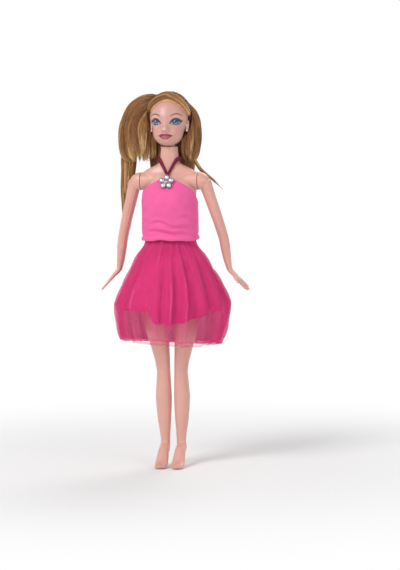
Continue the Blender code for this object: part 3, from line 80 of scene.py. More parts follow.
def make_camera():
    """The camera at the photograph's angle."""
    data = bpy.data.cameras.new("camera")
    data.sensor_fit = "VERTICAL"
    data.sensor_height = SENSOR
    data.lens = SENSOR * VIEW_DISTANCE / FRAME_HEIGHT
    data.clip_start, data.clip_end = CLIP_NEAR, CLIP_FAR
    right = Vector((math.cos(VIEW_AZIMUTH), math.sin(VIEW_AZIMUTH), 0.0))
    level = math.cos(VIEW_ELEVATION)
    away = Vector((right.y * level, -right.x * level, math.sin(VIEW_ELEVATION)))
    place = Vector((0.0, 0.0, AIM_Z)) + right * AIM_RIGHT + away * VIEW_DISTANCE
    bpy.context.scene.camera = stand("camera", data, place, -away, VIEW_ROLL)
    bpy.context.scene.view_settings.view_transform = "Standard"


def make_lights():
    """Soft studio light from lamps, under a white world."""
    for name, (place, size, power) in LAMPS.items():
        data = bpy.data.lights.new(name, "AREA")
        data.size, data.energy = size, power
        stand(name, data, place, LAMP_AIM - Vector(place))
    world = bpy.data.worlds.new("studio")
    bpy.context.scene.world = world
    world.use_nodes = True
    tree = world.node_tree
    back = tree.nodes["Background"]
    back.inputs["Color"].default_value = WHITE
    tree.links.new(seen_by_lens(tree, WORLD_SEEN, WORLD_LIGHT), back.inputs["Strength"])


def seen_by_lens(tree, seen, other):
    """A value for rays from the lens, from gloss and through clear things, and another for the rest."""
    total = 0.0
    for kind in ("Is Camera Ray", "Is Glossy Ray", "Is Transmission Ray"):
        total = sums(tree, total, add(tree, "LightPath", {}, kind), "MAXIMUM")
    return add(tree, "Mix", {"Factor": total, "A": other, "B": seen}, "Result", data_type="FLOAT")


# Materials

DEPTH_SCALE = 0.004  # how deep light gets into vinyl
GRAIN_RELIEF, THREAD_RELIEF, RIB_RELIEF, PLATING_RELIEF = 0.00002, 0.00006, 0.0001, 0.00003


def add(tree, kind, sockets, output=0, **settings):
    """A node whose sockets take values or other nodes' outputs; gives one of its outputs."""
    node = tree.nodes.new("ShaderNode" + kind)
    for name, value in settings.items():
        setattr(node, name, value)
    for socket, value in sockets.items():
        if isinstance(value, bpy.types.NodeSocket):
            tree.links.new(value, node.inputs[socket])
        else:
            node.inputs[socket].default_value = value
    return node.outputs[output]


def blank(name, roughness, metallic=0.0, **sockets):
    """A material with its Principled shader, whose even values are set on the shader itself."""
    made = bpy.data.materials.new(name)
    made.use_nodes = True
    shader = made.node_tree.nodes["Principled BSDF"]
    for socket, value in dict(sockets, Roughness=roughness, Metallic=metallic).items():
        shader.inputs[socket.replace("_", " ")].default_value = value
    return made, made.node_tree, shader


def coordinates(tree, kind="Object", stretch=(1.0, 1.0, 1.0)):
    """Coordinates on the piece, stretched."""
    return add(tree, "Mapping", {"Vector": add(tree, "TexCoord", {}, kind), "Scale": stretch}, "Vector")


def parts_of(tree, vector):
    """A vector's three parts."""
    whole = add(tree, "SeparateXYZ", {"Vector": vector})
    return [whole.node.outputs[axis] for axis in "XYZ"]


def noise(tree, scale, detail=2.0, stretch=(1.0, 1.0, 1.0)):
    """A noise value."""
    vector = coordinates(tree, stretch=stretch)
    return add(tree, "TexNoise", {"Scale": scale, "Detail": detail, "Vector": vector}, "Fac")


def threads_of(tree, scale, distortion, operation="ADD"):
    """Threads that run up and across."""
    sockets = {"Scale": scale, "Distortion": distortion, "Vector": coordinates(tree)}
    both = [add(tree, "TexWave", sockets, "Fac", wave_type="BANDS", bands_direction=axis) for axis in "XZ"]
    return sums(tree, *both, operation)


def sums(tree, a, b, operation="ADD"):
    """Two values combined."""
    return add(tree, "Math", {0: a, 1: b}, operation=operation)


def weighed(tree, a, share_a, b, share_b):
    """The sum of two values times their weights."""
    return sums(tree, sums(tree, a, share_a, "MULTIPLY"), sums(tree, b, share_b, "MULTIPLY"))


def ramp(tree, value, *stops):
    """Colours along a value, from (place, colour) stops."""
    colour = add(tree, "ValToRGB", {"Fac": value}, "Color")
    elements = colour.node.color_ramp.elements
    while len(elements) < len(stops):
        elements.new(0.5)
    for element, (place, tint) in zip(elements, stops):
        element.position = place
        element.color = (*tint, 1.0)
    return colour


def climb(tree, value, start, low, stop, high):
    """A value that climbs from low at the start to high at the stop."""
    return ramp(tree, value, (start, (low,) * 3), (stop, (high,) * 3))


def mixed(tree, share, a, b):
    """Two colours mixed by a value."""
    a, b = ((*colour, 1.0) if isinstance(colour, tuple) else colour for colour in (a, b))
    return add(tree, "Mix", {0: share, 6: a, 7: b}, 2, data_type="RGBA")


def bump(tree, shader, height, strength, distance):
    """Fine relief on a shader."""
    normal = add(tree, "Bump", {"Strength": strength, "Distance": distance, "Height": height}, "Normal")
    tree.links.new(normal, shader.inputs["Normal"])


def shade(colour, factor):
    """A colour made lighter or darker."""
    return tuple(min(1.0, part * factor) for part in colour)


def shades(colour, spread, start=0.3, stop=0.7):
    """Stops from a little darker to a little lighter than a colour."""
    return (start, shade(colour, 1 - spread)), (stop, shade(colour, 1 + spread))


def toned(tree, shader, value, *stops):
    """Colour a shader along a value."""
    tree.links.new(ramp(tree, value, *stops), shader.inputs["Base Color"])


def vinyl(name, colour, spread, mottle, coat, coat_roughness, grain):
    """Moulded plastic or vinyl with slight mottling, faint grain and a little depth, and its colour."""
    made, tree, shader = blank(name, 0.36, Coat_Weight=coat, Coat_Roughness=coat_roughness, Subsurface_Weight=0.12,
                               Subsurface_Scale=DEPTH_SCALE, Subsurface_Radius=(1.0, 0.45, 0.30))
    bump(tree, shader, noise(tree, 2600.0), grain, GRAIN_RELIEF)
    return made, tree, shader, ramp(tree, noise(tree, mottle, 3.0), *shades(colour, spread))


def fabric(name, colour, roughness, thread, sheen, relief, spread):
    """Woven cloth: crossed threads, uneven dye and a soft sheen."""
    made, tree, shader = blank(name, roughness, Sheen_Weight=sheen, Sheen_Roughness=0.45, Specular_IOR_Level=0.2)
    threads = threads_of(tree, thread, 0.6)
    uneven = weighed(tree, noise(tree, 120.0, 4.0), 0.7, threads, 0.14)
    toned(tree, shader, uneven, *shades(colour, spread, 0.30, 0.75))
    bump(tree, shader, threads, relief, THREAD_RELIEF)
    return made


# Meshes


def between(knots, rows, places):
    """Rows at the places, on smooth curves through the rows given at the knots, without overshoot."""
    knots, rows, places = np.asarray(knots, float), np.asarray(rows, float), np.asarray(places, float)
    step = np.diff(knots)
    slope = np.diff(rows, axis=0) / step[:, None]
    tangent = np.zeros_like(rows)
    tangent[0], tangent[-1] = slope[0], slope[-1]
    product = slope[:-1] * slope[1:]
    total = np.where(product > 0, slope[:-1] + slope[1:], 1.0)
    tangent[1:-1] = np.where(product > 0, 2 * product / total, 0.0)
    i = np.clip(np.searchsorted(knots, places, side="right") - 1, 0, len(step) - 1)
    h = step[i][:, None]
    t = (places[:, None] - knots[i][:, None]) / h
    start, end = rows[i], rows[i + 1]
    pull = tangent[i] * h * t * (1 - t) ** 2 - tangent[i + 1] * h * t ** 2 * (1 - t)
    return start * (1 + 2 * t) * (1 - t) ** 2 + end * t ** 2 * (3 - 2 * t) + pull


def curve_through(points, count):
    """Points evenly spaced on a smooth curve through the given ones."""
    points = np.asarray(points, float)
    ends = np.concatenate([[2 * points[0] - points[1]], points, [2 * points[-1] - points[-2]]])
    made = []
    for k in range(1, len(ends) - 2):
        a, b, c, d = ends[k - 1], ends[k], ends[k + 1], ends[k + 2]
        for t in np.linspace(0.0, 1.0, 10, endpoint=False):
            made.append(0.5 * (2 * b + (c - a) * t + (2 * a - 5 * b + 4 * c - d) * t ** 2
                               + (3 * b - 3 * c + d - a) * t ** 3))
    made = np.array(made + [points[-1]])
    reach = np.concatenate(([0.0], np.cumsum(np.linalg.norm(np.diff(made, axis=0), axis=1))))
    places = np.linspace(0.0, reach[-1], count)
    return np.stack([np.interp(places, reach, made[:, k]) for k in range(3)], axis=1)


def resampled(rows, count):
    """More rows, on smooth curves through the given ones."""
    return between(range(len(rows)), rows, np.linspace(0, len(rows) - 1, count))


def angles(count):
    """Angles round one turn."""
    return np.arange(count) * 2 * math.pi / count


def build(name, points, faces, material, uv=None, smooth=True):
    """An object from points and faces."""
    mesh = bpy.data.meshes.new(name)
    mesh.from_pydata(np.asarray(points, float).tolist(), [], faces)
    mesh.materials.append(material)
    if uv is not None:
        layer = mesh.uv_layers.new(name="weave")
        loops = np.empty(len(mesh.loops), dtype=np.int32)
        mesh.loops.foreach_get("vertex_index", loops)
        layer.data.foreach_set("uv", np.asarray(uv, float)[loops].ravel())
    if smooth:
        mesh.shade_smooth()
    item = bpy.data.objects.new(name, mesh)
    bpy.context.scene.collection.objects.link(item)
    return item


def outward(item):
    """Point every face out."""
    work = bmesh.new()
    work.from_mesh(item.data)
    bmesh.ops.recalc_face_normals(work, faces=work.faces)
    work.to_mesh(item.data)
    work.free()
    return item


def quads(rows, count, wrap_rows=False, wrap=True):
    """Quads of a grid of rows, whose columns run round where wrapped."""
    r = np.arange(rows if wrap_rows else rows - 1)[:, None]
    k = np.arange(count if wrap else count - 1)[None, :]
    low, high, n = r * count, ((r + 1) % rows) * count, (k + 1) % count
    faces = np.stack([low + k, low + n, high + n, high + k], axis=-1).reshape(-1, 4)
    return [tuple(face) for face in faces.tolist()]


def closed_rings(rings, first, last):
    """Points and faces of rings, closed round a middle point at each end."""
    rows, count = rings.shape[:2]
    faces = quads(rows, count)
    for k in range(count):
        n, end = (k + 1) % count, (rows - 1) * count
        faces += [(n, k, rows * count), (end + k, end + n, rows * count + 1)]
    return np.concatenate([rings.reshape(-1, 3), [first, last]]), faces


def gathered_parts(parts):
    """Several sets of points and faces as one."""
    points, faces, start = [], [], 0
    for some, found in parts:
        faces += [tuple(v + start for v in face) for face in found]
        points.append(some)
        start += len(some)
    return np.concatenate(points), faces


def tube_shell(name, outer, inner, material):
    """A closed tube of cloth between outer and inner rings."""
    rings = np.concatenate([outer, inner[::-1]])
    faces = quads(len(rings), rings.shape[1], wrap_rows=True)
    return outward(build(name, rings.reshape(-1, 3), faces, material))


def panel_shell(name, outer, inner, material, uv=None):
    """A closed panel of cloth between two equal grids that are open round their sides."""
    rows, count = outer.shape[:2]
    size = rows * count
    grid = quads(rows, count, wrap=False)
    numbers = np.arange(size).reshape(rows, count)
    rim = np.concatenate([numbers[0], numbers[1:, -1], numbers[-1, -2::-1], numbers[-2:0:-1, 0]]).tolist()
    faces = grid + [tuple(v + size for v in face[::-1]) for face in grid]
    faces += [(b, a, size + a, size + b) for a, b in zip(rim, rim[1:] + rim[:1])]
    points = np.concatenate([outer.reshape(-1, 3), inner.reshape(-1, 3)])
    if uv is not None:
        uv = np.concatenate([uv, uv]).reshape(-1, 2)
    return outward(build(name, points, faces, material, uv))


def corners(item):
    """The places of an object's corners."""
    return np.array([v.co for v in item.data.vertices])


def move_corners(item, points):
    """Put an object's corners at new places."""
    item.data.vertices.foreach_set("co", points.ravel())
    item.data.update()
    return item


def relax(item, rounds, pull=0.5, push=-0.52):
    """Smooth a mesh without shrinking it."""
    points = corners(item)
    count = len(points)
    edges = np.empty(len(item.data.edges) * 2, dtype=np.int64)
    item.data.edges.foreach_get("vertices", edges)
    a, b = edges[::2], edges[1::2]
    degree = np.bincount(a, minlength=count) + np.bincount(b, minlength=count)
    degree = np.maximum(degree, 1)[:, None]
    for _ in range(rounds):
        for step in (pull, push):
            total = np.zeros_like(points)
            for k in range(3):
                total[:, k] = np.bincount(a, points[b, k], count) + np.bincount(b, points[a, k], count)
            points = points + step * (total / degree - points)
    return move_corners(item, points)


def remeshed(item, voxel):
    """An object's shape as an even, closed skin."""
    change = item.modifiers.new("skin", "REMESH")
    change.mode = "VOXEL"
    change.voxel_size = voxel
    deps = bpy.context.evaluated_depsgraph_get()
    mesh = bpy.data.meshes.new_from_object(item.evaluated_get(deps))
    item.modifiers.clear()
    item.data = mesh
    mesh.shade_smooth()
    return item


def smoothed_copy(node, name, material, voxel, rounds):
    """A CAD node's shape as a new object with an even, smoothed skin."""
    mesh = bpy.data.objects[node].data.copy()
    mesh.materials.clear()
    mesh.materials.append(material)
    item = bpy.data.objects.new(name, mesh)
    bpy.context.scene.collection.objects.link(item)
    return relax(remeshed(item, voxel), rounds)


def wear(piece, body, nodes=()):
    """Ride a piece on its body in place of its CAD nodes."""
    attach(piece, body)
    if nodes:
        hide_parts(*nodes)
    return piece


def tree_of(name):
    """An object's shape, to measure from."""
    mesh = bpy.data.objects[name].data
    points = [v.co.copy() for v in mesh.vertices]
    return BVHTree.FromPolygons(points, [tuple(p.vertices) for p in mesh.polygons])


def reach_out(tree, turn, z, far=0.09):
    """How far a shape reaches from the upright axis in a direction at a height, or nothing."""
    way = Vector((math.cos(turn), math.sin(turn), 0.0))
    hit = tree.ray_cast(way * far + Vector((0.0, 0.0, z)), -way, far)
    return None if hit[0] is None else hit[0].xy.length


# Floor

FLOOR_HALF = 3.0
FLOOR_GAP = 0.0004  # how far the floor lies below the doll
FLOOR_WHITE = (0.93, 0.93, 0.93, 1.0)
FADE_START, FADE_END = 0.10, 0.42


def make_floor():
    """A plain pale floor that takes the shadow and passes into white."""
    white, tree, shader = blank("floor_white", 0.9, Base_Color=FLOOR_WHITE)
    away = add(tree, "VectorMath", {0: add(tree, "TexCoord", {}, "Object")}, "Value", operation="LENGTH")
    fade = {"Value": away, "From Min": FADE_START, "From Max": FADE_END}
    far = add(tree, "MapRange", fade, "Result", interpolation_type="SMOOTHSTEP")
    share = sums(tree, far, seen_by_lens(tree, 1.0, 0.0), "MULTIPLY")
    both = add(tree, "MixShader", {0: share, 1: shader.outputs[0], 2: add(tree, "Emission", {})})
    tree.links.new(both, tree.nodes["Material Output"].inputs["Surface"])
    points = [(x * FLOOR_HALF, y * FLOOR_HALF, 0) for x, y in ((-1, -1), (1, -1), (1, 1), (-1, 1))]
    item = build("floor", points, [(0, 1, 2, 3)], white, smooth=False)
    item.location.z = -FLOOR_GAP


# Skin

SKIN_COLOUR = (0.73, 0.385, 0.315)
FACE_COLOUR = (0.68, 0.350, 0.295)
TOE_ROOT_Y = -0.0175
TOE_PITCH, TOE_DENT = 0.0017, 0.0007
FOOT_X = 0.0066
TOE_RUN, SOLE_RUN, TOE_TOP_Z = 0.0030, 0.0010, 0.0075
# Skin grid steps and smoothing rounds
TORSO_SKIN, ARM_SKIN, LEG_SKIN = (0.00042, 26), (0.00026, 34), (0.00040, 40)


def make_skin(node, body, skin, material):
    """A smooth skin in the form of a moulded CAD node."""
    item = smoothed_copy(node, node + "_skin", material, *skin)
    if skin is LEG_SKIN:
        move_corners(item, toes(corners(item)))
    return wear(item, body, [node])


def toes(points):
    """Grooves pressed in between the toes."""
    x, y, z = points.T
    across = (np.abs(x) - FOOT_X) / TOE_PITCH
    groove = np.clip(np.cos(2 * math.pi * (across + 0.5)) - 0.55, 0.0, 1.0) / 0.45
    near = np.clip((TOE_ROOT_Y - y) / TOE_RUN, 0.0, 1.0) * np.clip(z / SOLE_RUN, 0.0, 1.0)
    near *= (np.abs(across) < 2.1) * (z < TOE_TOP_Z)
    moved = points.copy()
    moved[:, 2] -= TOE_DENT * groove * near * 0.6
    moved[:, 1] += TOE_DENT * groove * near
    return moved


def make_body():
    """The torso, arms and legs."""
    skin, tree, shader, colour = vinyl("skin_plastic", SKIN_COLOUR, 0.04, 55.0, 0.15, 0.25, 0.12)
    tree.links.new(colour, shader.inputs["Base Color"])
    make_skin("torso_front", "torso_body", TORSO_SKIN, skin)
    make_skin("torso_back", "torso_body", TORSO_SKIN, skin)
    for side in ("left", "right"):
        make_skin(f"{side}_arm", f"{side}_arm_body", ARM_SKIN, skin)
        make_skin(f"{side}_leg", f"{side}_leg_body", LEG_SKIN, skin)
    steel, tree, shader = blank("rod_steel", 0.3, 1.0)
    grain = noise(tree, 400.0, 3.0, (0.2, 4.0, 4.0))
    toned(tree, shader, grain, (0.3, (0.42, 0.42, 0.43)), (0.7, (0.62, 0.62, 0.63)))
    for node, material in (("neck_knob", skin), ("hip_rod", steel)):
        mesh = bpy.data.objects[node].data
        mesh.materials.clear()
        mesh.materials.append(material)


# Head

SKULL_Y, SKULL_RISE = 0.0010, 0.0035
SKULL_RADII = (0.0147, 0.0168, 0.0168)
JAW_Y, JAW_DROP = -0.0040, 0.0080
JAW_RADII = (0.0116, 0.0122, 0.0104)
HEAD_BLEND = 14.0
HEAD_RIM_ANGLE = -math.atan2(0.0176, 0.0077)
FACE_SIZE = 0.0200
# The face's forms, as shares of its size: place across and up, spread across and up, lift
PAIRED_SHARES = (
    (0.380, 0.010, 0.180, 0.120, -0.060),
    (0.300, 0.260, 0.250, 0.100, 0.015),
    (0.410, -0.310, 0.200, 0.200, 0.030),
    (0.085, -0.295, 0.055, 0.055, 0.050),
    (0.080, -0.480, 0.090, 0.042, 0.045),
    (0.385, 0.010, 0.150, 0.090, 0.034),
    (0.390, 0.150, 0.190, 0.022, -0.012),
    (0.058, -0.345, 0.026, 0.020, -0.032),
    (0.270, -0.525, 0.022, 0.030, -0.020),
)
MIDDLE_SHARES = (
    (0.0, -0.070, 0.090, 0.165, 0.095),
    (0.0, -0.265, 0.105, 0.100, 0.130),
    (0.0, -0.590, 0.135, 0.045, 0.062),
    (0.0, -0.535, 0.190, 0.014, -0.036),
    (0.0, -0.820, 0.170, 0.130, 0.060),
    (0.0, -0.415, 0.024, 0.050, -0.014),
    (0.0, -0.685, 0.120, 0.030, -0.022),
)
EAR_Y, EAR_RISE = 0.0012, -0.0030
HEAD_COLUMNS, HEAD_ROWS, HEAD_INNER_ROWS = 260, 150, 30
TOP_ANGLE = math.pi / 2 - 0.004
VINYL_WALL = 0.0009
RAY_FROM = 0.05  # how far out rays start
# Tints on the face, on both sides where they aren't in the middle: place, size, colour and strength. In order: blush on
# the cheeks, pale eyeshadow over the eyes, a darker band just above the lips, painted shade beside the nose, and a
# painted highlight on its tip
FACE_TINTS_AND_PAINTED_LIGHT = (
    ((0.0092, -0.0150, 0.2617), (0.0046, 0.02, 0.0036), (0.80, 0.25, 0.24), 0.35),
    ((0.0084, -0.0160, 0.2713), (0.0052, 0.02, 0.0030), (0.80, 0.56, 0.58), 0.55),
    ((0.0, -0.019, 0.2600), (0.0030, 0.02, 0.0012), (0.66, 0.26, 0.22), 0.45),
    # painted shade beside the nose
    ((0.0036, -0.0170, 0.2655), (0.0026, 0.02, 0.0046), (0.62, 0.27, 0.20), 0.40),
    # painted highlight on the nose tip
    ((0.0, -0.0200, 0.2632), (0.0016, 0.02, 0.0015), (1.0, 0.80, 0.74), 0.60),
)


def head_directions(around, up):
    """Unit directions from the head's centre."""
    flat = np.cos(up)
    return np.stack([flat * np.cos(around), flat * np.sin(around), np.sin(up)], axis=-1)


def egg_reach(direction, centre, radii):
    """How far an egg shape reaches from the head's centre in each direction."""
    scaled, offset = direction / np.array(radii), np.array(centre) / np.array(radii)
    a, b = (scaled ** 2).sum(-1), (scaled * offset).sum(-1)
    inside = np.maximum(b ** 2 - a * ((offset ** 2).sum() - 1), 0.0)
    return (b + np.sqrt(inside)) / a


def head_points(around, up, lift=0.0):
    """Points of the head's skin in the directions given, lifted by a distance."""
    direction = head_directions(around, up)
    skull = egg_reach(direction, (0.0, SKULL_Y, SKULL_RISE), SKULL_RADII)
    jaw = egg_reach(direction, (0.0, JAW_Y, -JAW_DROP), JAW_RADII)
    size = SKULL_RADII[2]
    reach = ((skull / size) ** HEAD_BLEND + (jaw / size) ** HEAD_BLEND) ** (1 / HEAD_BLEND) * size
    points = direction * (reach + lift)[..., None]
    x, z = points[..., 0].copy(), points[..., 2].copy()
    facing = np.clip(-points[..., 1] / JAW_RADII[1], 0.0, 1.0)
    forms = [(1, shares) for shares in MIDDLE_SHARES]
    forms += [(side, shares) for shares in PAIRED_SHARES for side in (1, -1)]
    for side, shares in forms:
        across, high, wide, tall, rise = (FACE_SIZE * share for share in shares)
        far = ((x - side * across) / wide) ** 2 + ((z - high) / tall) ** 2
        points[..., 1] -= rise * facing * np.exp(-far / 2)
    return points + np.array([0.0, 0.0, HEAD_Z])


def face_material():
    """The head's vinyl with blush on the cheeks, pale eyeshadow over the eyes, a darker band above the lips, painted
    shade beside the nose and a painted highlight on its tip.
    """
    made, tree, shader, colour = vinyl("head_vinyl", FACE_COLOUR, 0.03, 60.0, 0.12, 0.3, 0.10)
    for (x, y, z), size, tint, most in FACE_TINTS_AND_PAINTED_LIGHT:
        for side in (1, -1) if x else (1,):
            shift = [-c / s for c, s in zip((side * x, y, z), size)]
            vector = add(tree, "TexCoord", {}, "Object")
            near = add(tree, "Mapping", {"Vector": vector, "Scale": [1 / s for s in size], "Location": shift}, "Vector")
            ball = add(tree, "TexGradient", {"Vector": near}, "Fac", gradient_type="SPHERICAL")
            colour = mixed(tree, sums(tree, ball, most, "MULTIPLY"), colour, tint)
    tree.links.new(colour, shader.inputs["Base Color"])
    return made


def make_head():
    """The head's vinyl skin, open at the neck."""
    step = angles(HEAD_COLUMNS) - math.pi
    around = step - 0.5 * np.sin(step) - math.pi / 2
    outer = np.linspace(TOP_ANGLE, HEAD_RIM_ANGLE, HEAD_ROWS)
    inner = np.linspace(HEAD_RIM_ANGLE, TOP_ANGLE, HEAD_INNER_ROWS)
    rings = [head_points(around, np.full(HEAD_COLUMNS, rise)) for rise in outer]
    rings += [head_points(around, np.full(HEAD_COLUMNS, rise), -VINYL_WALL) for rise in inner]
    points, faces = closed_rings(np.array(rings), rings[0].mean(0), rings[-1].mean(0))
    head = outward(build("head_skin", points, faces, face_material()))
    return wear(head, "head_body", ["head_shell"])


def seat(tree, place, way):
    """Where a ray that comes in along a way, through a place, first meets a shape."""
    way = Vector(way)
    return tree.ray_cast(Vector(place) - way * RAY_FROM, way, 2 * RAY_FROM)[0]


def ended_rings(rings):
    """Points and faces of rings, with a flat face at each end."""
    rows, count = rings.shape[:2]
    faces = quads(rows, count) + [tuple(range(count)), tuple(range((rows - 1) * count, rows * count))]
    return rings.reshape(-1, 3), faces


def tube(points, radii, sides=8):
    """Rings round a line, with closed ends, as points and faces."""
    points, radii = np.asarray(points, float), np.asarray(radii, float)[:, None, None]
    tangent = np.gradient(points, axis=0)
    tangent /= np.linalg.norm(tangent, axis=1)[:, None]
    side = np.cross(tangent, (0.31, 0.17, 0.93))
    side /= np.linalg.norm(side, axis=1)[:, None]
    other = np.cross(tangent, side)
    turn = angles(sides)[None, :, None]
    out = side[:, None] * np.cos(turn) + other[:, None] * np.sin(turn)
    return ended_rings(points[:, None] + radii * out)


def blob(centre, radii, rows=12, sides=16):
    """A small egg as points and faces."""
    rise, turn = np.linspace(-1.45, 1.45, rows)[:, None], angles(sides)
    parts = np.broadcast_arrays(np.cos(rise) * np.cos(turn), np.cos(rise) * np.sin(turn), np.sin(rise))
    return ended_rings(np.stack(parts, axis=-1) * np.array(radii) + np.array(centre))


# An ear's rim and inner fold: place behind and above its middle and outward, then radius, in millimetres
RIM = ((-0.9, 0.2, 0.2, 0.30), (-1.5, 1.8, 0.3, 0.42), (-0.6, 3.5, 0.6, 0.48), (1.0, 3.9, 0.9, 0.50),
       (2.3, 2.6, 1.2, 0.50), (2.4, 0.6, 1.2, 0.48), (1.7, -1.3, 1.0, 0.46), (0.5, -2.9, 0.7, 0.55),
       (-0.6, -3.7, 0.4, 0.75), (-1.3, -2.9, 0.2, 0.50))
FOLD = ((0.4, 2.4, 0.5, 0.30), (1.2, 1.2, 0.6, 0.36), (1.1, -0.4, 0.6, 0.36), (0.2, -1.7, 0.5, 0.40))
# Its shell, the flap before it and its lobe: place outward, behind and above, then radii, in millimetres
EAR_BLOBS = (((0.2, 0.4, 0.3), (0.55, 2.1, 3.6)), ((0.35, -1.4, -0.9), (0.5, 0.5, 0.7)),
             ((0.25, -1.0, -2.9), (0.7, 1.4, 1.3)))
EAR_SKIN = (0.00016, 6)
# The pierced hole's stations outward, its place behind and above, and its radii, in millimetres: a dark plug through
# the lobe that paints the shade inside the hole
HOLE_OUT, HOLE_Y, HOLE_RISE, HOLE_RADII = (0.30, 0.88, 0.96), -0.5, -3.2, (0.28, 0.28, 0.20)


def make_ears(material):
    """The two ears, with rim, inner fold and lobe, and a dark plug through the lobe that paints the shade in the
    pierced hole.
    """
    tree = tree_of("head_skin")
    # The plug's dark paint is painted shade inside the pierced hole
    dark = paint_material("pierced_hole_shade", (0.25, 0.09, 0.06), 0.6)
    for side, name in ((1, "left"), (-1, "right")):
        lines = [resampled(rows, 30) * MM for rows in (RIM, FOLD)]
        parts = [tube(line[:, [2, 0, 1]], line[:, 3], 12) for line in lines]
        parts += [blob(np.array(centre) * MM, np.array(radii) * MM) for centre, radii in EAR_BLOBS]
        points, faces = gathered_parts(parts)
        foot = np.array(seat(tree, (0.0, EAR_Y, HEAD_Z + EAR_RISE), (-side, 0.0, 0.0)))
        ear = outward(build(f"{name}_ear", points * (side, 1, 1) + foot, faces, material))
        voxel, rounds = EAR_SKIN
        wear(relax(remeshed(ear, voxel), rounds), "head_body")
        line = [foot + np.array([side * out, HOLE_Y, HOLE_RISE]) * MM for out in HOLE_OUT]
        hole = build(f"{name}_lobe_hole", *tube(line, np.array(HOLE_RADII) * MM, 12), dark)
        wear(outward(hole), "head_body")


# Face paint

PAINT_STEP, PAINT_DEPTH = 0.00003, 0.00025
PAINTS = {
    "eye_white": (0.50, 0.54, 0.64), "eye_liner": (0.020, 0.018, 0.055), "iris_rim": (0.012, 0.040, 0.12),
    "iris_blue": (0.025, 0.10, 0.26), "iris_light": (0.09, 0.28, 0.50), "pupil": (0.008, 0.008, 0.014),
    "eye_shine": (0.92, 0.93, 0.95), "brow_brown": (0.25, 0.105, 0.06), "lid_crease": (0.55, 0.26, 0.22),
    "lip_red": (0.26, 0.012, 0.045), "lip_pink": (0.80, 0.16, 0.30), "lip_seam": (0.20, 0.01, 0.03),
}
PAINT_ROUGHNESS = {"lip_red": 0.22, "lip_pink": 0.18}
# Lines and discs below are in millimetres: an eye's outward from its middle and up, and the lips' across and up
# from the head's middle
EYE_X, EYE_RISE, LOOK_IN = 0.0077, 0.0002, 0.0001
UPPER_LID = ((-3.9, -0.8), (-2.7, 0.8), (-1.1, 1.9), (0.7, 2.1), (2.3, 1.4), (3.6, 0.3))
LOWER_LID = ((3.6, 0.3), (2.6, -1.1), (1.0, -1.95), (-0.8, -2.0), (-2.5, -1.5), (-3.9, -0.8))
# An eye's discs: paint, place, half width and half height, corners, layer and rings
EYE_DISCS = {
    "iris_rim": ("iris_rim", 0.0, 0.15, 2.35, 2.05, 40, 3, 7),
    "iris": ("iris_blue", 0.0, 0.0, 2.00, 1.75, 40, 4, 7),
    "iris_light": ("iris_light", 0.0, -0.85, 1.05, 0.70, 40, 5, 7),
    "pupil": ("pupil", 0.0, 0.45, 1.00, 1.05, 40, 6, 7),
    "shine": ("eye_shine", -0.55, 0.90, 0.42, 0.42, 20, 8, 3),
    "small_shine": ("eye_shine", 0.60, -0.80, 0.20, 0.20, 16, 8, 3),
}
# An eye's lines: paint, layer, points and widths
# The upper liner, widest at about 2 mm, is printed liner and also painted shade below the upper lid
UPPER_LINER = ("eye_liner", 9, ((-4.2, -1.2), *UPPER_LID[1:-1], (3.7, 0.6), (4.7, 1.0)),
               (0.5, 1.4, 1.9, 2.0, 1.9, 1.4, 0.15))
LOWER_LINER = ("eye_liner", 9, LOWER_LID, (0.7, 0.5, 0.4, 0.3, 0.25, 0.2))
LID_CREASE = ("lid_crease", 3, ((-2.6, 2.1), (-0.8, 3.1), (1.4, 3.2), (3.6, 2.2)), (0.12, 0.28, 0.28, 0.1))
BROW = ("brow_brown", 3, ((-3.5, 4.5), (-1.7, 5.7), (0.7, 6.3), (2.9, 5.7), (4.7, 4.3)),
        (0.5, 1.1, 1.1, 0.8, 0.18))
# Lashes: lid, first and last share along it, how many, how far they reach at its start and how that changes
# along it, bend, and widths
LASHES = {
    "lash": (UPPER_LID, 0.42, 0.98, 7, (0.5, 1.0), (1.0, -0.55), (0.1, -0.05), (0.35, 0.22, 0.05)),
    "lower_lash": (LOWER_LID, 0.08, 0.5, 4, (0.55, -0.55), (0.0, 0.0), (0.0, 0.0), (0.22, 0.15, 0.05)),
}
# The lips' upper and lower edges, then layer and paint
LIPS = {
    "lips": (((-5.7, -10.3), (-3.5, -9.2), (-1.3, -8.7), (0.0, -9.0), (1.3, -8.7), (3.5, -9.2), (5.7, -10.3)),
             ((5.7, -10.3), (3.5, -11.8), (1.5, -12.5), (-1.5, -12.5), (-3.5, -11.8), (-5.7, -10.3)),
             2, "lip_red"),
    "lips_inside": (((-3.1, -10.7), (-1.6, -10.2), (0.0, -10.15), (1.6, -10.2), (3.1, -10.7)),
                    ((3.1, -10.7), (1.8, -11.5), (0.0, -11.8), (-1.8, -11.5), (-3.1, -10.7)), 4, "lip_pink"),
}
LIP_SEAM = ((-4.7, -10.2), (-2.2, -10.6), (0, -10.75), (2.2, -10.6), (4.7, -10.2))
LIP_SEAM_WIDTHS = (0.1, 0.3, 0.32, 0.3, 0.1)


def paint_material(name, colour, roughness=0.28):
    """Face paint with faint unevenness."""
    made, tree, shader = blank(name, roughness, Coat_Weight=0.3, Coat_Roughness=0.2)
    toned(tree, shader, noise(tree, 900.0), *shades(colour, 0.05))
    return made


def laid_on(tree, flat, layer):
    """Points of a flat picture, across and up from the head's middle, laid on the face, front and back."""
    front, back = [], []
    for x, z in flat.reshape(-1, 2):
        y = seat(tree, (x, 0.0, HEAD_Z + z), (0.0, 1.0, 0.0)).y
        front.append((x, y - layer * PAINT_STEP, HEAD_Z + z))
        back.append((x, y + PAINT_DEPTH, HEAD_Z + z))
    return [np.array(side).reshape(*flat.shape[:-1], 3) for side in (front, back)]


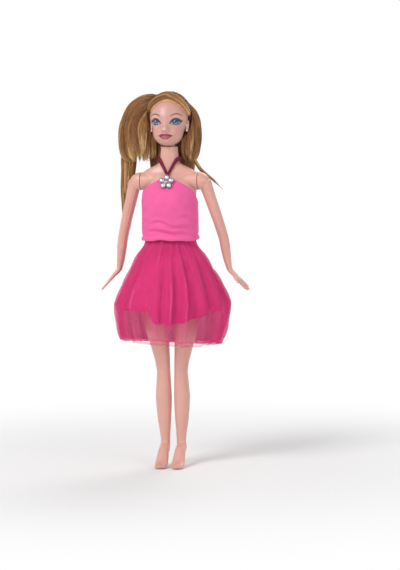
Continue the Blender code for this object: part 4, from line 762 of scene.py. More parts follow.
def painted_disc(name, tree, outline, layer, material, rings=7):
    """Paint within an outline on the face."""
    centre = outline.mean(axis=0)
    shares = np.linspace(1.0, 0.0, rings, endpoint=False)[:, None, None]
    front, back = laid_on(tree, centre + (outline - centre) * shares, layer)
    (first,), (last,) = laid_on(tree, centre[None], layer)
    points, faces = closed_rings(np.concatenate([front[::-1], back]), first, last)
    return wear(outward(build(name, points, faces, material)), "head_body")


def painted_line(name, tree, line, widths, layer, material):
    """Paint along a line on the face, with widths in millimetres."""
    path = resampled(line, 40)
    wide = resampled([[width * MM] for width in widths], 40)
    tangent = np.gradient(path, axis=0)
    tangent /= np.linalg.norm(tangent, axis=1)[:, None]
    normal = np.stack([-tangent[:, 1], tangent[:, 0]], axis=1)
    flat = path[:, None] + (normal * wide)[:, None] * np.linspace(-0.5, 0.5, 5)[None, :, None]
    return wear(panel_shell(name, *laid_on(tree, flat, layer), material), "head_body")


def ring_of(x, z, wide, tall, count):
    """An ellipse on the face."""
    turn = angles(count)
    return np.stack([x + wide * np.cos(turn), z + tall * np.sin(turn)], axis=1)


def on_eye(side, rows):
    """An eye's points on the face."""
    return np.array([((EYE_X + out * MM) * side, EYE_RISE + up * MM) for out, up in rows])


def make_eye(side, name, tree, paints):
    """An eye with its liner, lashes, lid crease and brow."""
    lids = np.concatenate([resampled(UPPER_LID, 22)[:-1], resampled(LOWER_LID, 22)[:-1]])
    painted_disc(f"{name}_eye_white", tree, on_eye(side, lids), 2, paints["eye_white"])
    look = (EYE_X - LOOK_IN) * side
    for what, (paint, across, up, wide, tall, count, layer, rings) in EYE_DISCS.items():
        ring = ring_of(look + across * MM, EYE_RISE + up * MM, wide * MM, tall * MM, count)
        painted_disc(f"{name}_{what}", tree, ring, layer, paints[paint], rings)
    lines = {"upper_liner": UPPER_LINER, "lower_liner": LOWER_LINER}
    for what, (lid, first, last, count, reach, change, bend, widths) in LASHES.items():
        for k, share in enumerate(np.linspace(first, last, count)):
            root = between(range(len(lid)), lid, [share * (len(lid) - 1)])[0]
            tip = root + np.array(reach) + np.array(change) * share
            lines[f"{what}_{k}"] = ("eye_liner", 10, (root, (root + tip) / 2 + np.array(bend), tip), widths)
    lines.update(lid_crease=LID_CREASE, brow=BROW)
    for what, (paint, layer, points, widths) in lines.items():
        painted_line(f"{name}_{what}", tree, on_eye(side, points), widths, layer, paints[paint])


def make_face_paint():
    """Eyes, brows and lips painted on the head."""
    tree = tree_of("head_skin")
    paints = {name: paint_material(name, colour, PAINT_ROUGHNESS.get(name, 0.28))
              for name, colour in PAINTS.items()}
    make_eye(1, "left", tree, paints)
    make_eye(-1, "right", tree, paints)
    for name, (upper, lower, layer, paint) in LIPS.items():
        outline = np.concatenate([resampled(upper, 30)[:-1], resampled(lower, 30)[:-1]])
        painted_disc(name, tree, outline * MM, layer, paints[paint], 9)
    painted_line("lip_seam", tree, np.array(LIP_SEAM) * MM, LIP_SEAM_WIDTHS, 6, paints["lip_seam"])


# Dress

BODICE_HEM_Z, BAND_TOP_Z, BAND_HEIGHT = 0.1762, 0.1802, 0.0042
BODICE_COLUMNS, BODICE_ROWS = 241, 70
CLOSURE_ANGLE = 0.05  # half of what the bodice leaves open at the back
SIDE_DROP, TOP_RISE = 0.0025, 0.0028  # of the bodice's edge, below the bust and above the shoulders
SATIN_WALL, SATIN_GAP, LEAST_REACH = 0.0007, 0.0012, 0.002
EDGE_IN, HEM_IN = 0.0006, 0.0003  # how far inside its edges the bodice's solid is measured
SEAM_DROP, STITCH_LIFT = 0.0009, 0.00008
STITCH_RADII = (0.00003, 0.00011, 0.00003)
PINK = (0.90, 0.125, 0.370)
HOT_PINK = (0.96, 0.038, 0.235)
NET_PINK = (0.95, 0.075, 0.290)
# The lighter pink on the net's fold ridges is a painted highlight
RIDGE_HIGHLIGHT_PINK = (0.95, 0.14, 0.38)
BURGUNDY = (0.17, 0.010, 0.048)


def blurred(grid, rounds, wrap=False):
    """A grid of lengths smoothed along its rows and columns, its edges kept."""
    for _ in range(rounds):
        inner = grid.copy()
        inner[1:-1] = (grid[:-2] + 2 * grid[1:-1] + grid[2:]) / 4
        if wrap:
            grid = (np.roll(inner, 1, 1) + 2 * inner + np.roll(inner, -1, 1)) / 4
        else:
            grid = inner.copy()
            grid[:, 1:-1] = (inner[:, :-2] + 2 * inner[:, 1:-1] + inner[:, 2:]) / 4
    return grid


def bodice_edge(turn):
    """The height of the bodice's top edge at an angle round the body."""
    side = BUST_Z - SIDE_DROP
    front = np.clip(-np.sin(turn), 0.0, 1.0)
    return side + (SHOULDER_Z + TOP_RISE - side) * front * (1.45 - 0.45 * front)


def polar(reach, turns, heights):
    """Points at distances from the upright axis."""
    return np.stack([reach * np.cos(turns), reach * np.sin(turns), heights], axis=-1)


# Creases pressed across the bodice: angle from the front and height share at the left end, the same at the
# right end, sag share, and depth and width in millimetres
CREASES = (
    (-1.15, 0.19, 1.10, 0.12, -0.020, 1.425, 1.6), (-0.85, 0.29, 0.25, 0.23, 0.030, 1.125, 1.5),
    (-0.15, 0.21, 1.20, 0.29, -0.030, 1.200, 1.7), (-1.30, 0.38, -0.50, 0.31, 0.020, 0.825, 1.6),
    (0.45, 0.38, 1.40, 0.44, 0.020, 0.750, 1.7), (-0.40, 0.13, 0.55, 0.09, 0.015, 1.125, 1.2),
    (-1.40, 0.54, -0.60, 0.50, 0.015, 0.525, 2.2), (0.75, 0.56, 1.45, 0.60, 0.015, 0.525, 2.2),
    (1.60, 0.25, 2.70, 0.20, 0.010, 0.900, 1.6), (-2.70, 0.22, -1.70, 0.28, 0.010, 0.900, 1.6),
)


def bodice_reach(turns, heights, top):
    """How far the bodice stands from the upright axis, by its solid or else by the skin under it."""
    tree, skin = tree_of("bodice"), tree_of("torso_front_skin")
    reach = np.zeros_like(heights)
    for r, row in enumerate(heights):
        for k, turn in enumerate(turns):
            z = min(max(row[k], BODICE_HEM_Z + HEM_IN), top[k] - EDGE_IN)
            found = reach_out(tree, turn, z) or (reach_out(skin, turn, z) or 0.0) + SATIN_GAP
            reach[r, k] = found if found > LEAST_REACH else reach[max(r - 1, 0), k]
    return blurred(reach, 14)


def make_bodice():
    """The soft satin bodice, snug at the bust and creased above its rolled hem."""
    satin = fabric("pink_satin", PINK, 0.50, 1700.0, 0.12, 0.35, 0.07)
    turns = np.linspace(math.pi / 2 + CLOSURE_ANGLE, math.pi * 5 / 2 - CLOSURE_ANGLE, BODICE_COLUMNS)
    shares = np.linspace(0.0, 1.0, BODICE_ROWS)[:, None]
    top = bodice_edge(turns)
    hem = BODICE_HEM_Z + MM * (0.4 + 0.4 * np.sin(3 * turns + 0.6) + 0.3 * np.sin(7 * turns + 2.0))
    heights = hem + (top - hem) * shares
    reach = bodice_reach(turns, heights, top)
    front = np.arctan2(np.sin(turns + math.pi / 2), np.cos(turns + math.pi / 2))[None, :]
    for a, low, b, high, sag, depth, wide in CREASES:
        way = np.clip((front - a) / (b - a), 0.0, 1.0)
        line = low + (high - low) * way + sag * np.sin(math.pi * way)
        across = (shares - line) * 48.0 / wide
        ends = np.sin(math.pi * way) ** 0.7
        reach += depth * MM * ends * (0.8 * np.exp(-(across - 1.2) ** 2) - np.exp(-across ** 2))
    up, down = (heights - hem) / MM, (top - heights) / MM
    reach += MM * (0.50 * np.exp(-((up - 1.5) / 1.2) ** 2) - 0.55 * np.exp(-((up - 4.1) / 1.1) ** 2))
    reach += 0.16 * MM * np.exp(-((down - 0.5) / 0.5) ** 2)
    reach += 0.10 * MM * np.sin(7 * turns + 9 * shares + 1.3) * np.sin(math.pi * shares)
    outer, inner = polar(reach, turns, heights), polar(reach - SATIN_WALL, turns, heights)
    item = wear(panel_shell("bodice_satin", outer, inner, satin), "torso_body", ["bodice"])
    seam = polar(reach[-2] + STITCH_LIFT, turns, top - SEAM_DROP)[::2]
    ways = [((a + b) / 2, (b - a) * 0.34) for a, b in zip(seam, seam[1:])]
    stitches("bodice_top_stitches", [(middle - half, middle, middle + half) for middle, half in ways], satin)


def stitches(name, lines, material):
    """Short raised stitches, each along three points."""
    points, faces = gathered_parts([tube(line, STITCH_RADII, 5) for line in lines])
    return wear(build(name, points, faces, material), "torso_body")


PLACKET_IN = 0.0013  # how far the placket's inner side is moved towards the body
SEAM_X, SEAM_FOOT_Z, SEAM_TOP_Z = 0.0028, 0.1772, 0.2050
STITCH_PITCH, STITCH_LENGTH, STITCH_SINK, STITCH_CROWN = 0.0011, 0.00076, 0.00005, 0.00004


def make_closure():
    """The back's placket and the tape under it, with rows of stitching."""
    satin = bpy.data.materials["pink_satin"]
    tape = fabric("closure_tape", (0.80, 0.76, 0.77), 0.8, 2600.0, 0.1, 0.8, 0.05)
    for node, made, slot in (("back_placket", satin, "pink_satin"), ("closure_tape", tape, "closure_tape")):
        item = smoothed_copy(node, node + "_cloth", made, 0.00022, 6)
        points = corners(item)
        points[:, 1] += 0.12 * MM * np.sin(points[:, 2] * 1500) * np.cos(points[:, 0] * 500)
        if node == "back_placket":
            inward = np.array([v.normal.y for v in item.data.vertices]) < -0.3
            points[inward, 1] -= PLACKET_IN
        wear(move_corners(item, points), "torso_body", [node])
    tree = tree_of("back_placket")
    lines = []
    for x in (-SEAM_X, SEAM_X):
        for z in np.arange(SEAM_FOOT_Z, SEAM_TOP_Z, STITCH_PITCH):
            y = seat(tree, (x, 0.0, z), (0.0, -1.0, 0.0)).y + STITCH_SINK
            lines.append([(x, y, z), (x, y + STITCH_CROWN, z + STITCH_LENGTH / 2), (x, y, z + STITCH_LENGTH)])
    stitches("placket_stitches", lines, satin)


BAND_COLUMNS, BAND_ROWS = 420, 12
BAND_EDGE, BAND_WALL, PUCKER, ROLL = 0.0002, 0.0008, 0.00013, 0.0003


def make_waistband():
    """The gathered elastic band at the waist."""
    elastic = fabric("pink_elastic", shade(HOT_PINK, 0.92), 0.7, 1900.0, 0.05, 0.7, 0.08)
    tree = tree_of("skirt_waistband")
    turns = angles(BAND_COLUMNS)
    outer, inner = [], []
    for r, z in enumerate(np.linspace(BAND_TOP_Z - BAND_EDGE, BAND_TOP_Z - BAND_HEIGHT + BAND_EDGE, BAND_ROWS)):
        reach = blurred(np.array([[reach_out(tree, t, z) for t in turns]] * 3), 6, wrap=True)[1]
        pucker = PUCKER * np.sin(84 * turns + 0.8 * np.sin(5 * turns)) * (0.6 + 0.4 * math.sin(2.2 * r))
        edge = ROLL * (abs(r / (BAND_ROWS - 1) - 0.5) * 2) ** 6
        outer.append(polar(reach + pucker - edge, turns, np.full(BAND_COLUMNS, z)))
        inner.append(polar(reach - BAND_WALL, turns, np.full(BAND_COLUMNS, z)))
    item = tube_shell("waistband_elastic", np.array(outer), np.array(inner), elastic)
    wear(item, "torso_body", ["skirt_waistband"])


SKIRT_REACH, SKIRT_DEPTH, NET_LENGTH = 0.0442, 0.0366, 0.0850
SKIRT_ROWS, SKIRT_COLUMNS = 72, 220
LAYER_STEP, FIRST_GAP = 0.0013, 0.0004  # between the layers, and from the band to the first
PLEAT_SIZE, RIPPLE_SIZE = 0.00075, 0.00035
DROP_SHARES = (0.0, 0.055, 0.19, 0.32, 0.46, 0.575, 0.63, 0.79, 0.92, 1.0)
REACH_SHARES = (0.0, 0.01, 0.31, 0.53, 0.765, 0.935, 1.0, 0.95, 0.85, 0.72)
# Folds that all the layers share: the angles from the front, towards the doll's left, of a valley, the next
# ridge, the next valley and so on round the skirt
FOLD_ANGLES = (-26, -14.5, -3, 7, 17, 28.5, 41.5, 54, 67, 79, 92, 105, 119, 131, 144, 157, 170, 182, 195, 208,
               221, 234, 247, 259, 272, 286, 300, 317)
FOLD_SIZE = 0.062
# The seams between the skirt's halves, each in a valley
SEAM_FRONT, SEAM_BACK = -3, 170
# Creases across the folds: angle and drop share at each end, depth and width in millimetres
FOLD_CREASES = ((33, 0.255, 50, 0.315, 1.3, 1.3), (-48, 0.52, -22, 0.50, 0.9, 1.4),
                (98, 0.30, 120, 0.36, 1.1, 1.5), (200, 0.28, 226, 0.25, 1.1, 1.5),
                (150, 0.52, 172, 0.47, 0.9, 1.6), (262, 0.40, 284, 0.46, 0.9, 1.5))
# Hems: angle from the front and drop share
LINING_HEM = ((-80, 0.672), (-24, 0.668), (-20, 0.70), (-12, 0.775), (8, 0.790), (25, 0.775),
              (50, 0.722), (72, 0.680), (100, 0.705), (150, 0.720), (200, 0.700), (250, 0.715),
              (280, 0.672))
OUTER_HEM = ((-80, 0.955), (-50, 0.955), (-20, 0.975), (10, 0.985), (40, 1.0), (70, 0.99),
             (110, 1.01), (150, 1.03), (200, 1.02), (240, 1.0), (280, 0.955))
INNER_HEM = ((-80, 0.935), (-30, 0.935), (0, 0.945), (30, 0.965), (60, 0.97), (120, 0.995),
             (180, 1.01), (230, 0.985), (280, 0.935))


def from_front(turns):
    """Angles from the front in degrees, between -80 and 280, of angles round the axis."""
    return (np.degrees(turns) + 90 + 80) % 360 - 80


def round_table(turns, table):
    """Values round the skirt, smooth between those given at angles from the front."""
    table = np.array(table, float)
    return between(table[:, 0], table[:, 1:], from_front(turns))[:, 0]


def folds(turns):
    """The folds' height round the skirt, from -1 in the valleys to 1 on the ridges."""
    knots = np.array(FOLD_ANGLES + (FOLD_ANGLES[0] + 360,), float)
    place = (np.degrees(turns) + 90 - knots[0]) % 360 + knots[0]
    k = np.clip(np.searchsorted(knots, place, side="right") - 1, 0, len(knots) - 2)
    share = (place - knots[k]) / (knots[k + 1] - knots[k])
    rise = 0.5 - 0.5 * np.cos(math.pi * share)
    height = np.where(k % 2 == 0, rise, 1 - rise)
    return 2 * height ** 1.5 - 1


def net_material(name, colour, front, back):
    """See-through net of crossed threads, with its cover in front and behind, and on its fold ridges a painted
    highlight and denser cover where it lies doubled.
    """
    made, tree, shader = blank(name, 0.8, Specular_IOR_Level=0.1)
    threads = threads_of(tree, 420.0, 1.2, "MAXIMUM")
    uneven = weighed(tree, noise(tree, 90.0, 4.0), 0.8, threads, 0.2)
    fold, down, _ = parts_of(tree, coordinates(tree, "UV"))
    # On the fold ridges: a painted highlight in the colour, and denser cover where the net lies doubled
    ridge = climb(tree, fold, 0.955, 0.0, 0.995, 1.0)
    ridge = sums(tree, ridge, climb(tree, noise(tree, 55.0), 0.40, 0.0, 0.62, 1.0), "MULTIPLY")
    tone = ramp(tree, uneven, (0.3, shade(colour, 0.9)), (0.8, shade(colour, 1.12)))
    tree.links.new(mixed(tree, ridge, tone, RIDGE_HIGHLIGHT_PINK), shader.inputs["Base Color"])
    behind = parts_of(tree, coordinates(tree))[1]
    behind = climb(tree, sums(tree, sums(tree, behind, 22.0, "MULTIPLY"), 0.5), 0.02, front, 0.45, back)
    cover = sums(tree, behind, sums(tree, sums(tree, threads, 0.7, "MULTIPLY"), 0.55), "MULTIPLY")
    cover = sums(tree, cover, sums(tree, ridge, 0.16, "MULTIPLY"))
    cover = sums(tree, cover, climb(tree, down, 0.975, 0.0, 0.988, 0.14))
    tree.links.new(cover, shader.inputs["Alpha"])
    bump(tree, shader, threads, 0.4, THREAD_RELIEF)
    return made


def skirt_half(name, side, layer, hem, thickness, material, ruffle, seed):
    """Half of a skirt layer, gathered at the waist and hung in soft folds down to its uneven hem; side is 1 for
    the doll's left and -1 for its right."""
    first, last = (SEAM_FRONT, SEAM_BACK) if side > 0 else (SEAM_BACK, SEAM_FRONT + 360)
    turns = np.radians(np.linspace(first, last, SKIRT_COLUMNS) - 90)
    phases = np.random.default_rng(seed).uniform(0, 2 * math.pi, 8)
    end = round_table(turns, hem)
    end += 0.003 * np.sin(19 * turns + phases[6]) + 0.002 * np.sin(37 * turns + phases[7])
    steps = np.linspace(0.0, 1.0, SKIRT_ROWS)[:, None] ** 1.1
    drop = steps * end
    share = between(DROP_SHARES, [[s] for s in REACH_SHARES], np.clip(drop.ravel(), 0, 1)).reshape(drop.shape)
    tree = tree_of("skirt_waistband")
    band = np.array([reach_out(tree, t, BAND_TOP_Z - BAND_HEIGHT / 2) for t in turns])
    band += FIRST_GAP + layer * LAYER_STEP
    half, deep = (size - (2 - layer) * LAYER_STEP for size in (SKIRT_REACH, SKIRT_DEPTH))
    wide = 1 / np.sqrt((np.cos(turns) / half) ** 2 + (np.sin(turns) / deep) ** 2)
    reach = band + (wide - band) * share
    sway = 0.09 * np.sin(3.2 * drop + 2 * turns) * np.clip(drop * 2, 0, 1)
    fold = folds(turns + sway)
    full = 0.80 + 0.30 * np.sin(5 * turns + 1.0) + 0.18 * np.sin(11 * turns + 0.3)
    reach *= 1 + FOLD_SIZE * fold * full * np.clip(drop * 2.4, 0, 1)
    reach *= 1 + 0.012 * np.cos(4 * turns + 0.6) * share
    gather = np.exp(-((drop - 0.10) / 0.13) ** 2) * np.clip(drop / 0.06, 0, 1)
    pleat = np.sin(31 * turns + 2.5 * np.sin(4 * turns + phases[0])) * np.sin(12 * turns + phases[7])
    reach += PLEAT_SIZE * gather * pleat
    for start, high, stop, low, depth, width in FOLD_CREASES:
        way = (from_front(turns) - start) / (stop - start)
        across = (drop - (high + (low - high) * way)) * NET_LENGTH / MM / width
        reach -= depth * MM * np.exp(-across ** 2) * np.sin(math.pi * np.clip(way, 0, 1)) ** 0.5
    waves = sum(np.cos(n * turns + p) for n, p in zip((23, 31, 43), phases[1:4]))
    reach += ruffle * np.clip((steps - 0.55) / 0.45, 0, 1) ** 1.5 * waves / 2
    ripple = np.sin(13 * turns + 22 * drop + phases[4]) * np.sin(9 * turns - 15 * drop + phases[5])
    reach += RIPPLE_SIZE * ripple * np.clip(drop * 4, 0, 1)
    heights = BAND_TOP_Z - drop * NET_LENGTH
    outer, inner = polar(reach, turns, heights), polar(reach - thickness, turns, heights)
    uv = np.stack([fold * 0.5 + 0.5, np.broadcast_to(steps, fold.shape)], axis=-1)
    return panel_shell(name, outer, inner, material, uv)


def make_skirt():
    """The lining and the two layers of net, each with its own hem."""
    chiffon = fabric("pink_chiffon", HOT_PINK, 0.6, 1500.0, 0.05, 0.4, 0.12)
    inner_net = net_material("inner_net", NET_PINK, 0.12, 0.50)
    outer_net = net_material("outer_net", NET_PINK, 0.11, 0.42)
    layers = (("skirt_lining", 0, LINING_HEM, 0.0004, chiffon, 0.0008, 3, "pink_chiffon", 0.1225, 0.067),
              ("skirt_inner_net", 1, INNER_HEM, 0.00015, inner_net, 0.0012, 4, "pink_net", 0.125, 0.090),
              ("skirt_outer_net", 2, OUTER_HEM, 0.00015, outer_net, 0.0013, 5, "pink_net", 0.1275, 0.093))
    for node, layer, hem, thickness, material, ruffle, seed, slot, wide, long in layers:
        for side, leg in ((1, "left"), (-1, "right")):
            half = skirt_half(f"{node}_{leg}_half", side, layer, hem, thickness, material, ruffle, seed)
            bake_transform(half)
            if side > 0:
                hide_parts(node)


def make_strap():
    """The ribbed ribbon round the neck, a little thicker than its solid, with its front ends tucked under."""
    ribbon, tree, shader = blank("burgundy_ribbon", 0.6, Specular_IOR_Level=0.25)
    ribs = threads_of(tree, 900.0, 0.4)
    tone = sums(tree, sums(tree, ribs, 0.2, "MULTIPLY"), noise(tree, 300.0, 3.0))
    toned(tree, shader, tone, (0.4, shade(BURGUNDY, 0.75)), (0.9, shade(BURGUNDY, 1.35)))
    bump(tree, shader, ribs, 0.7, RIB_RELIEF)
    item = smoothed_copy("halter_strap", "halter_ribbon", ribbon, 0.00019, 5)
    for vertex in item.data.vertices:
        vertex.co = vertex.co + vertex.normal * RIBBON_THICKER
        tucked = min(max((SHOULDER_Z + TUCK_RISE - vertex.co.z) / TUCK_RUN, 0.0), 1.0)
        vertex.co.y -= TUCK_IN * tucked if vertex.co.y < 0 else 0.0
    wear(item, "torso_body", ["halter_strap"])


RIBBON_THICKER = 0.00022
TUCK_RISE, TUCK_RUN, TUCK_IN = 0.0058, 0.003, 0.0006

# Brooch

# Its eggs' radii, and how far they lie out from the middle and forward, in millimetres
PLATE_PETAL, PETAL = ((2.45, 2.15, 0.6), 3.6, 0.4), ((2.08, 1.80, 1.25), 3.7, 0.7)
PLATE_MIDDLE, STUD = ((2.2, 2.2, 0.6), 0.0, 0.4), ((0.85, 0.85, 0.7), 0.0, 1.1)
BEAD = ((0.3, 0.3, 0.3), 1.2, 0.9)
# A petal's rim: how far out its middle lies, half length, half width, how far forward, and thickness
RIM_OUT, RIM_LONG, RIM_WIDE, RIM_LIFT, RIM_THICK = 3.6, 2.1, 1.85, 0.85, 0.16


def brooch_seat():
    """The brooch's seat and its directions across, up and forward, from its solid."""
    points = np.array([v.co for v in bpy.data.objects["flower_brooch"].data.vertices])
    middle = points.mean(axis=0)
    normal = np.linalg.svd(points - middle)[2][2]
    normal *= -np.sign(normal[1])
    depth = ((points - middle) @ normal).min()
    up = np.array([0.0, 0.0, 1.0]) - normal * normal[2]
    up /= np.linalg.norm(up)
    return middle + normal * depth, np.stack([np.cross(normal, up), up, normal])


def brooch_egg(turn, radii, out, lift):
    """An egg of the brooch, its length along the way out from the middle."""
    way, side = (math.cos(turn), math.sin(turn), 0.0), (-math.sin(turn), math.cos(turn), 0.0)
    points, faces = blob((0.0, 0.0, 0.0), radii)
    return points @ np.stack([way, side, (0.0, 0.0, 1.0)]) + np.array(way) * out + (0.0, 0.0, lift), faces


def brooch_rim(turn):
    """The raised rim of a petal."""
    round_rim = np.linspace(0, 2 * math.pi, 33)
    out, side = RIM_OUT + RIM_LONG * np.cos(round_rim), RIM_WIDE * np.sin(round_rim)
    line = np.stack([out * math.cos(turn) - side * math.sin(turn), out * math.sin(turn) + side * math.cos(turn),
                     np.full(33, RIM_LIFT)], axis=1)
    return tube(line, np.full(33, RIM_THICK), 8)


def make_brooch():
    """The silver flower: a back plate and raised petal rims in dark silver, which paints the shade round and between
    the petals, five domed petals, and a beaded stud.
    """
    silver, tree, shader = blank("silver_plating", 0.24, 1.0)
    toned(tree, shader, noise(tree, 500.0, 3.0), (0.3, (0.50, 0.46, 0.49)), (0.7, (0.66, 0.62, 0.64)))
    bump(tree, shader, noise(tree, 1800.0), 0.15, PLATING_RELIEF)
    # Dark silver on the back plate and the rims: painted shade in the gaps round the petals
    dark, tree, shader = blank("silver_painted_shade", 0.38, 1.0)
    toned(tree, shader, noise(tree, 700.0, 3.0), (0.3, (0.17, 0.145, 0.18)), (0.7, (0.27, 0.24, 0.28)))
    foot, ways = brooch_seat()
    turns = angles(5) + math.pi / 2
    pieces = {
        "brooch_back": (dark, [brooch_egg(turn, *PLATE_PETAL) for turn in turns]
                        + [brooch_egg(0.0, *PLATE_MIDDLE)]),
        "brooch_petals": (silver, [brooch_egg(turn, *PETAL) for turn in turns]),
        "brooch_rims": (dark, [brooch_rim(turn) for turn in turns]),
        "brooch_stud": (silver, [brooch_egg(0.0, *STUD)] + [brooch_egg(turn, *BEAD) for turn in angles(8)]),
    }
    for name, (material, parts) in pieces.items():
        points, faces = gathered_parts(parts)
        item = outward(build(name, foot + points @ ways * MM, faces, material))
        wear(item, "torso_body", ["flower_brooch"] if name == "brooch_back" else ())


# Hair

HAIR_TOP, HAIR_SPREAD, HAIR_DEPTH, HAIR_LENGTH = 0.2910, 0.0435, 0.0240, 0.1110
HAIR_OVER_HEAD, OVER_HEAD_SHARE = 0.0422, 0.38
HAIRLINE_DEPTH_SHARES = (-1.0, -0.80, -0.42, 0.06, 0.50, 1.0)
HAIRLINE_RISES = (80.0, 72.0, 55.0, 20.0, -24.0, -36.0)
# Each lock's sections from its root down: place across, back and down, then half width and half depth, as
# shares of the hair's spread, depth and length
LOCK_SHARES = {
    "hair_back": (
        (-0.02, 0.50, 0.05, 0.20, 0.16), (-0.02, 0.71, 0.12, 0.32, 0.20), (-0.02, 0.81, 0.26, 0.39, 0.21),
        (-0.02, 0.78, 0.42, 0.39, 0.20), (-0.02, 0.75, 0.57, 0.36, 0.18), (-0.02, 0.76, 0.73, 0.29, 0.155),
        (-0.02, 0.76, 0.86, 0.20, 0.10)),
    "hair_right_side": (
        (-0.22, 0.25, 0.058, 0.15, 0.24), (-0.38, 0.31, 0.099, 0.245, 0.29), (-0.54, 0.37, 0.176, 0.315, 0.33),
        (-0.62, 0.38, 0.28, 0.33, 0.30), (-0.62, 0.40, 0.387, 0.325, 0.23), (-0.62, 0.40, 0.446, 0.29, 0.17),
        (-0.62, 0.40, 0.485, 0.17, 0.07)),
    "hair_left_side": (
        (0.31, 0.33, 0.108, 0.08, 0.17), (0.345, 0.34, 0.153, 0.127, 0.22), (0.368, 0.36, 0.225, 0.163, 0.25),
        (0.37, 0.37, 0.312, 0.1725, 0.25), (0.354, 0.36, 0.396, 0.168, 0.21), (0.340, 0.36, 0.45, 0.138, 0.16),
        (0.330, 0.36, 0.485, 0.07, 0.07)),
    "hair_long_lock": (
        (-0.80, 0.62, 0.37, 0.14, 0.10), (-0.82, 0.62, 0.46, 0.14, 0.10), (-0.84, 0.60, 0.58, 0.125, 0.085),
        (-0.855, 0.61, 0.74, 0.10, 0.075), (-0.865, 0.70, 0.88, 0.07, 0.06), (-0.865, 0.79, 1.00, 0.03, 0.04)),
    "hair_stray_lock": (
        (0.40, 0.34, 0.455, 0.035, 0.06), (0.51, 0.42, 0.533, 0.035, 0.06), (0.73, 0.50, 0.613, 0.030, 0.055),
        (0.954, 0.54, 0.695, 0.012, 0.02)),
}


CROWN_LIFT, STRAND_LIFT = 0.0032, 0.0006  # how far the hair stands off the head, and how much that varies
CROWN_SCATTER = 0.0007
# The dark middle below is painted shade deep in the lock
TIP_FREE = 0.011  # how much of a lock hangs below its dark middle
MOST_STRANDS = 1020  # in one piece
THICK_FROM, THICK_TO = 0.00016, 0.00027
# How each lock is filled: clumps, strands in each, their spread, where their ends lie along it, how far they
# wander, seed, the place on the crown that they rise from with its half width and half depth, the step where they
# join the lock, and size
LOCKS = {
    "hair_right_side": (84, 20, 0.16, (0.74, 1.04), 0.0011, 21, (-0.0040, 0.0065, 0.0045, 0.0075), 2, 1.0),
    "hair_left_side": (56, 18, 0.18, (0.76, 1.05), 0.0011, 22, (0.0050, 0.0065, 0.0042, 0.0075), 2, 1.0),
    "hair_back": (84, 14, 0.15, (0.80, 1.03), 0.0009, 23, (0.0, 0.0120, 0.0080, 0.0035), 2, 1.07),
    "hair_long_lock": (30, 13, 0.22, (0.62, 1.00), 0.0013, 24, (-0.0040, 0.0085, 0.0030, 0.0040), 6, 1.0),
    "hair_stray_lock": (9, 12, 0.50, (0.72, 1.00), 0.0005, 25, None, 2, 0.75),
}
# How far out in a lock its clumps lie, and how often
RING_SHARES, RING_CHANCES = (1.0, 0.93, 0.82, 0.62), (0.52, 0.24, 0.14, 0.10)
LOCK_STEPS, BOW_STEPS = 27, 9
BASE_SKIN = (0.0006, 30)
# The dark inner bodies are painted shade between the strands
BASE_IN, BAND_BASE_IN = 0.0014, 0.0002  # how far inside their solids the dark inner bodies lie
CROWN_STRANDS, CROWN_STEPS, CROWN_SKIN_LIFT, CROWN_RISE = 900, 22, 0.0026, 0.0011
BAND_STRANDS, BAND_STEPS, FRINGE_RADIUS, FRINGE_DROP, FRINGE_LIFT = 420, 40, 0.0024, 0.0033, 0.0006
ROOT_DROP, ROOT_ROW_STEP = 0.0058, 0.0007
# A root stitch's stations: shares across, rise, and lift in millimetres
ROOT_STATIONS = ((-1, 0.0, 0.0), (-0.4, 0.018, 0.40), (0.4, 0.045, 0.55), (1, 0.09, 0.60))
ROOT_RADII = (0.00022, 0.00018)


def hair_material():
    """Golden nylon hair: tone by strand, lighter towards the tips as a painted highlight, with a soft gloss."""
    made, tree, shader = blank("rooted_hair", 0.44, Specular_IOR_Level=0.3)
    strand, along, _ = parts_of(tree, coordinates(tree, "UV"))
    # Tone climbs towards the tips of the strands: a painted highlight
    tone = sums(tree, strand, sums(tree, sums(tree, along, 3.0, "POWER"), 0.42, "MULTIPLY"))
    tone = sums(tree, tone, sums(tree, noise(tree, 260.0, 3.0), 0.22, "MULTIPLY"))
    toned(tree, shader, tone, (0.12, (0.110, 0.042, 0.016)), (0.42, (0.250, 0.102, 0.038)),
          (0.68, (0.390, 0.185, 0.072)), (0.86, (0.600, 0.335, 0.140)), (1.0, (0.850, 0.560, 0.270)))
    return made


def strand_mesh(name, paths, radii, tones, material, sides=3, tip=1.0):
    """Many strands as one object, from their points, radii and tones; tip is how light their ends are under the painted
    highlight towards the tips.
    """
    paths, radii = np.asarray(paths, float), np.asarray(radii, float)[:, :, None, None]
    count, steps = paths.shape[:2]
    tangent = np.gradient(paths, axis=1)
    tangent /= np.maximum(np.linalg.norm(tangent, axis=2), 1e-12)[..., None]
    side = np.cross(tangent, np.array([0.35, 0.86, 0.37]))
    side /= np.maximum(np.linalg.norm(side, axis=2), 1e-9)[..., None]
    other = np.cross(tangent, side)
    turn = angles(sides)[:, None]
    rings = paths[:, :, None] + radii * (side[:, :, None] * np.cos(turn) + other[:, :, None] * np.sin(turn))
    each = steps * sides
    starts = (np.arange(count) * each)[:, None]
    faces = (np.array(quads(steps, sides))[None] + starts[:, None]).reshape(-1, 4).tolist()
    ends = np.stack([starts + np.arange(sides)[::-1], starts + each - sides + np.arange(sides)], axis=1)
    faces += ends.reshape(-1, sides).tolist()
    uv = np.empty((count, steps, sides, 2))
    uv[..., 0] = np.asarray(tones)[:, None, None]
    uv[..., 1] = np.linspace(0, tip, steps)[None, :, None]
    return build(name, rings.reshape(-1, 3), faces, material, uv.reshape(-1, 2))


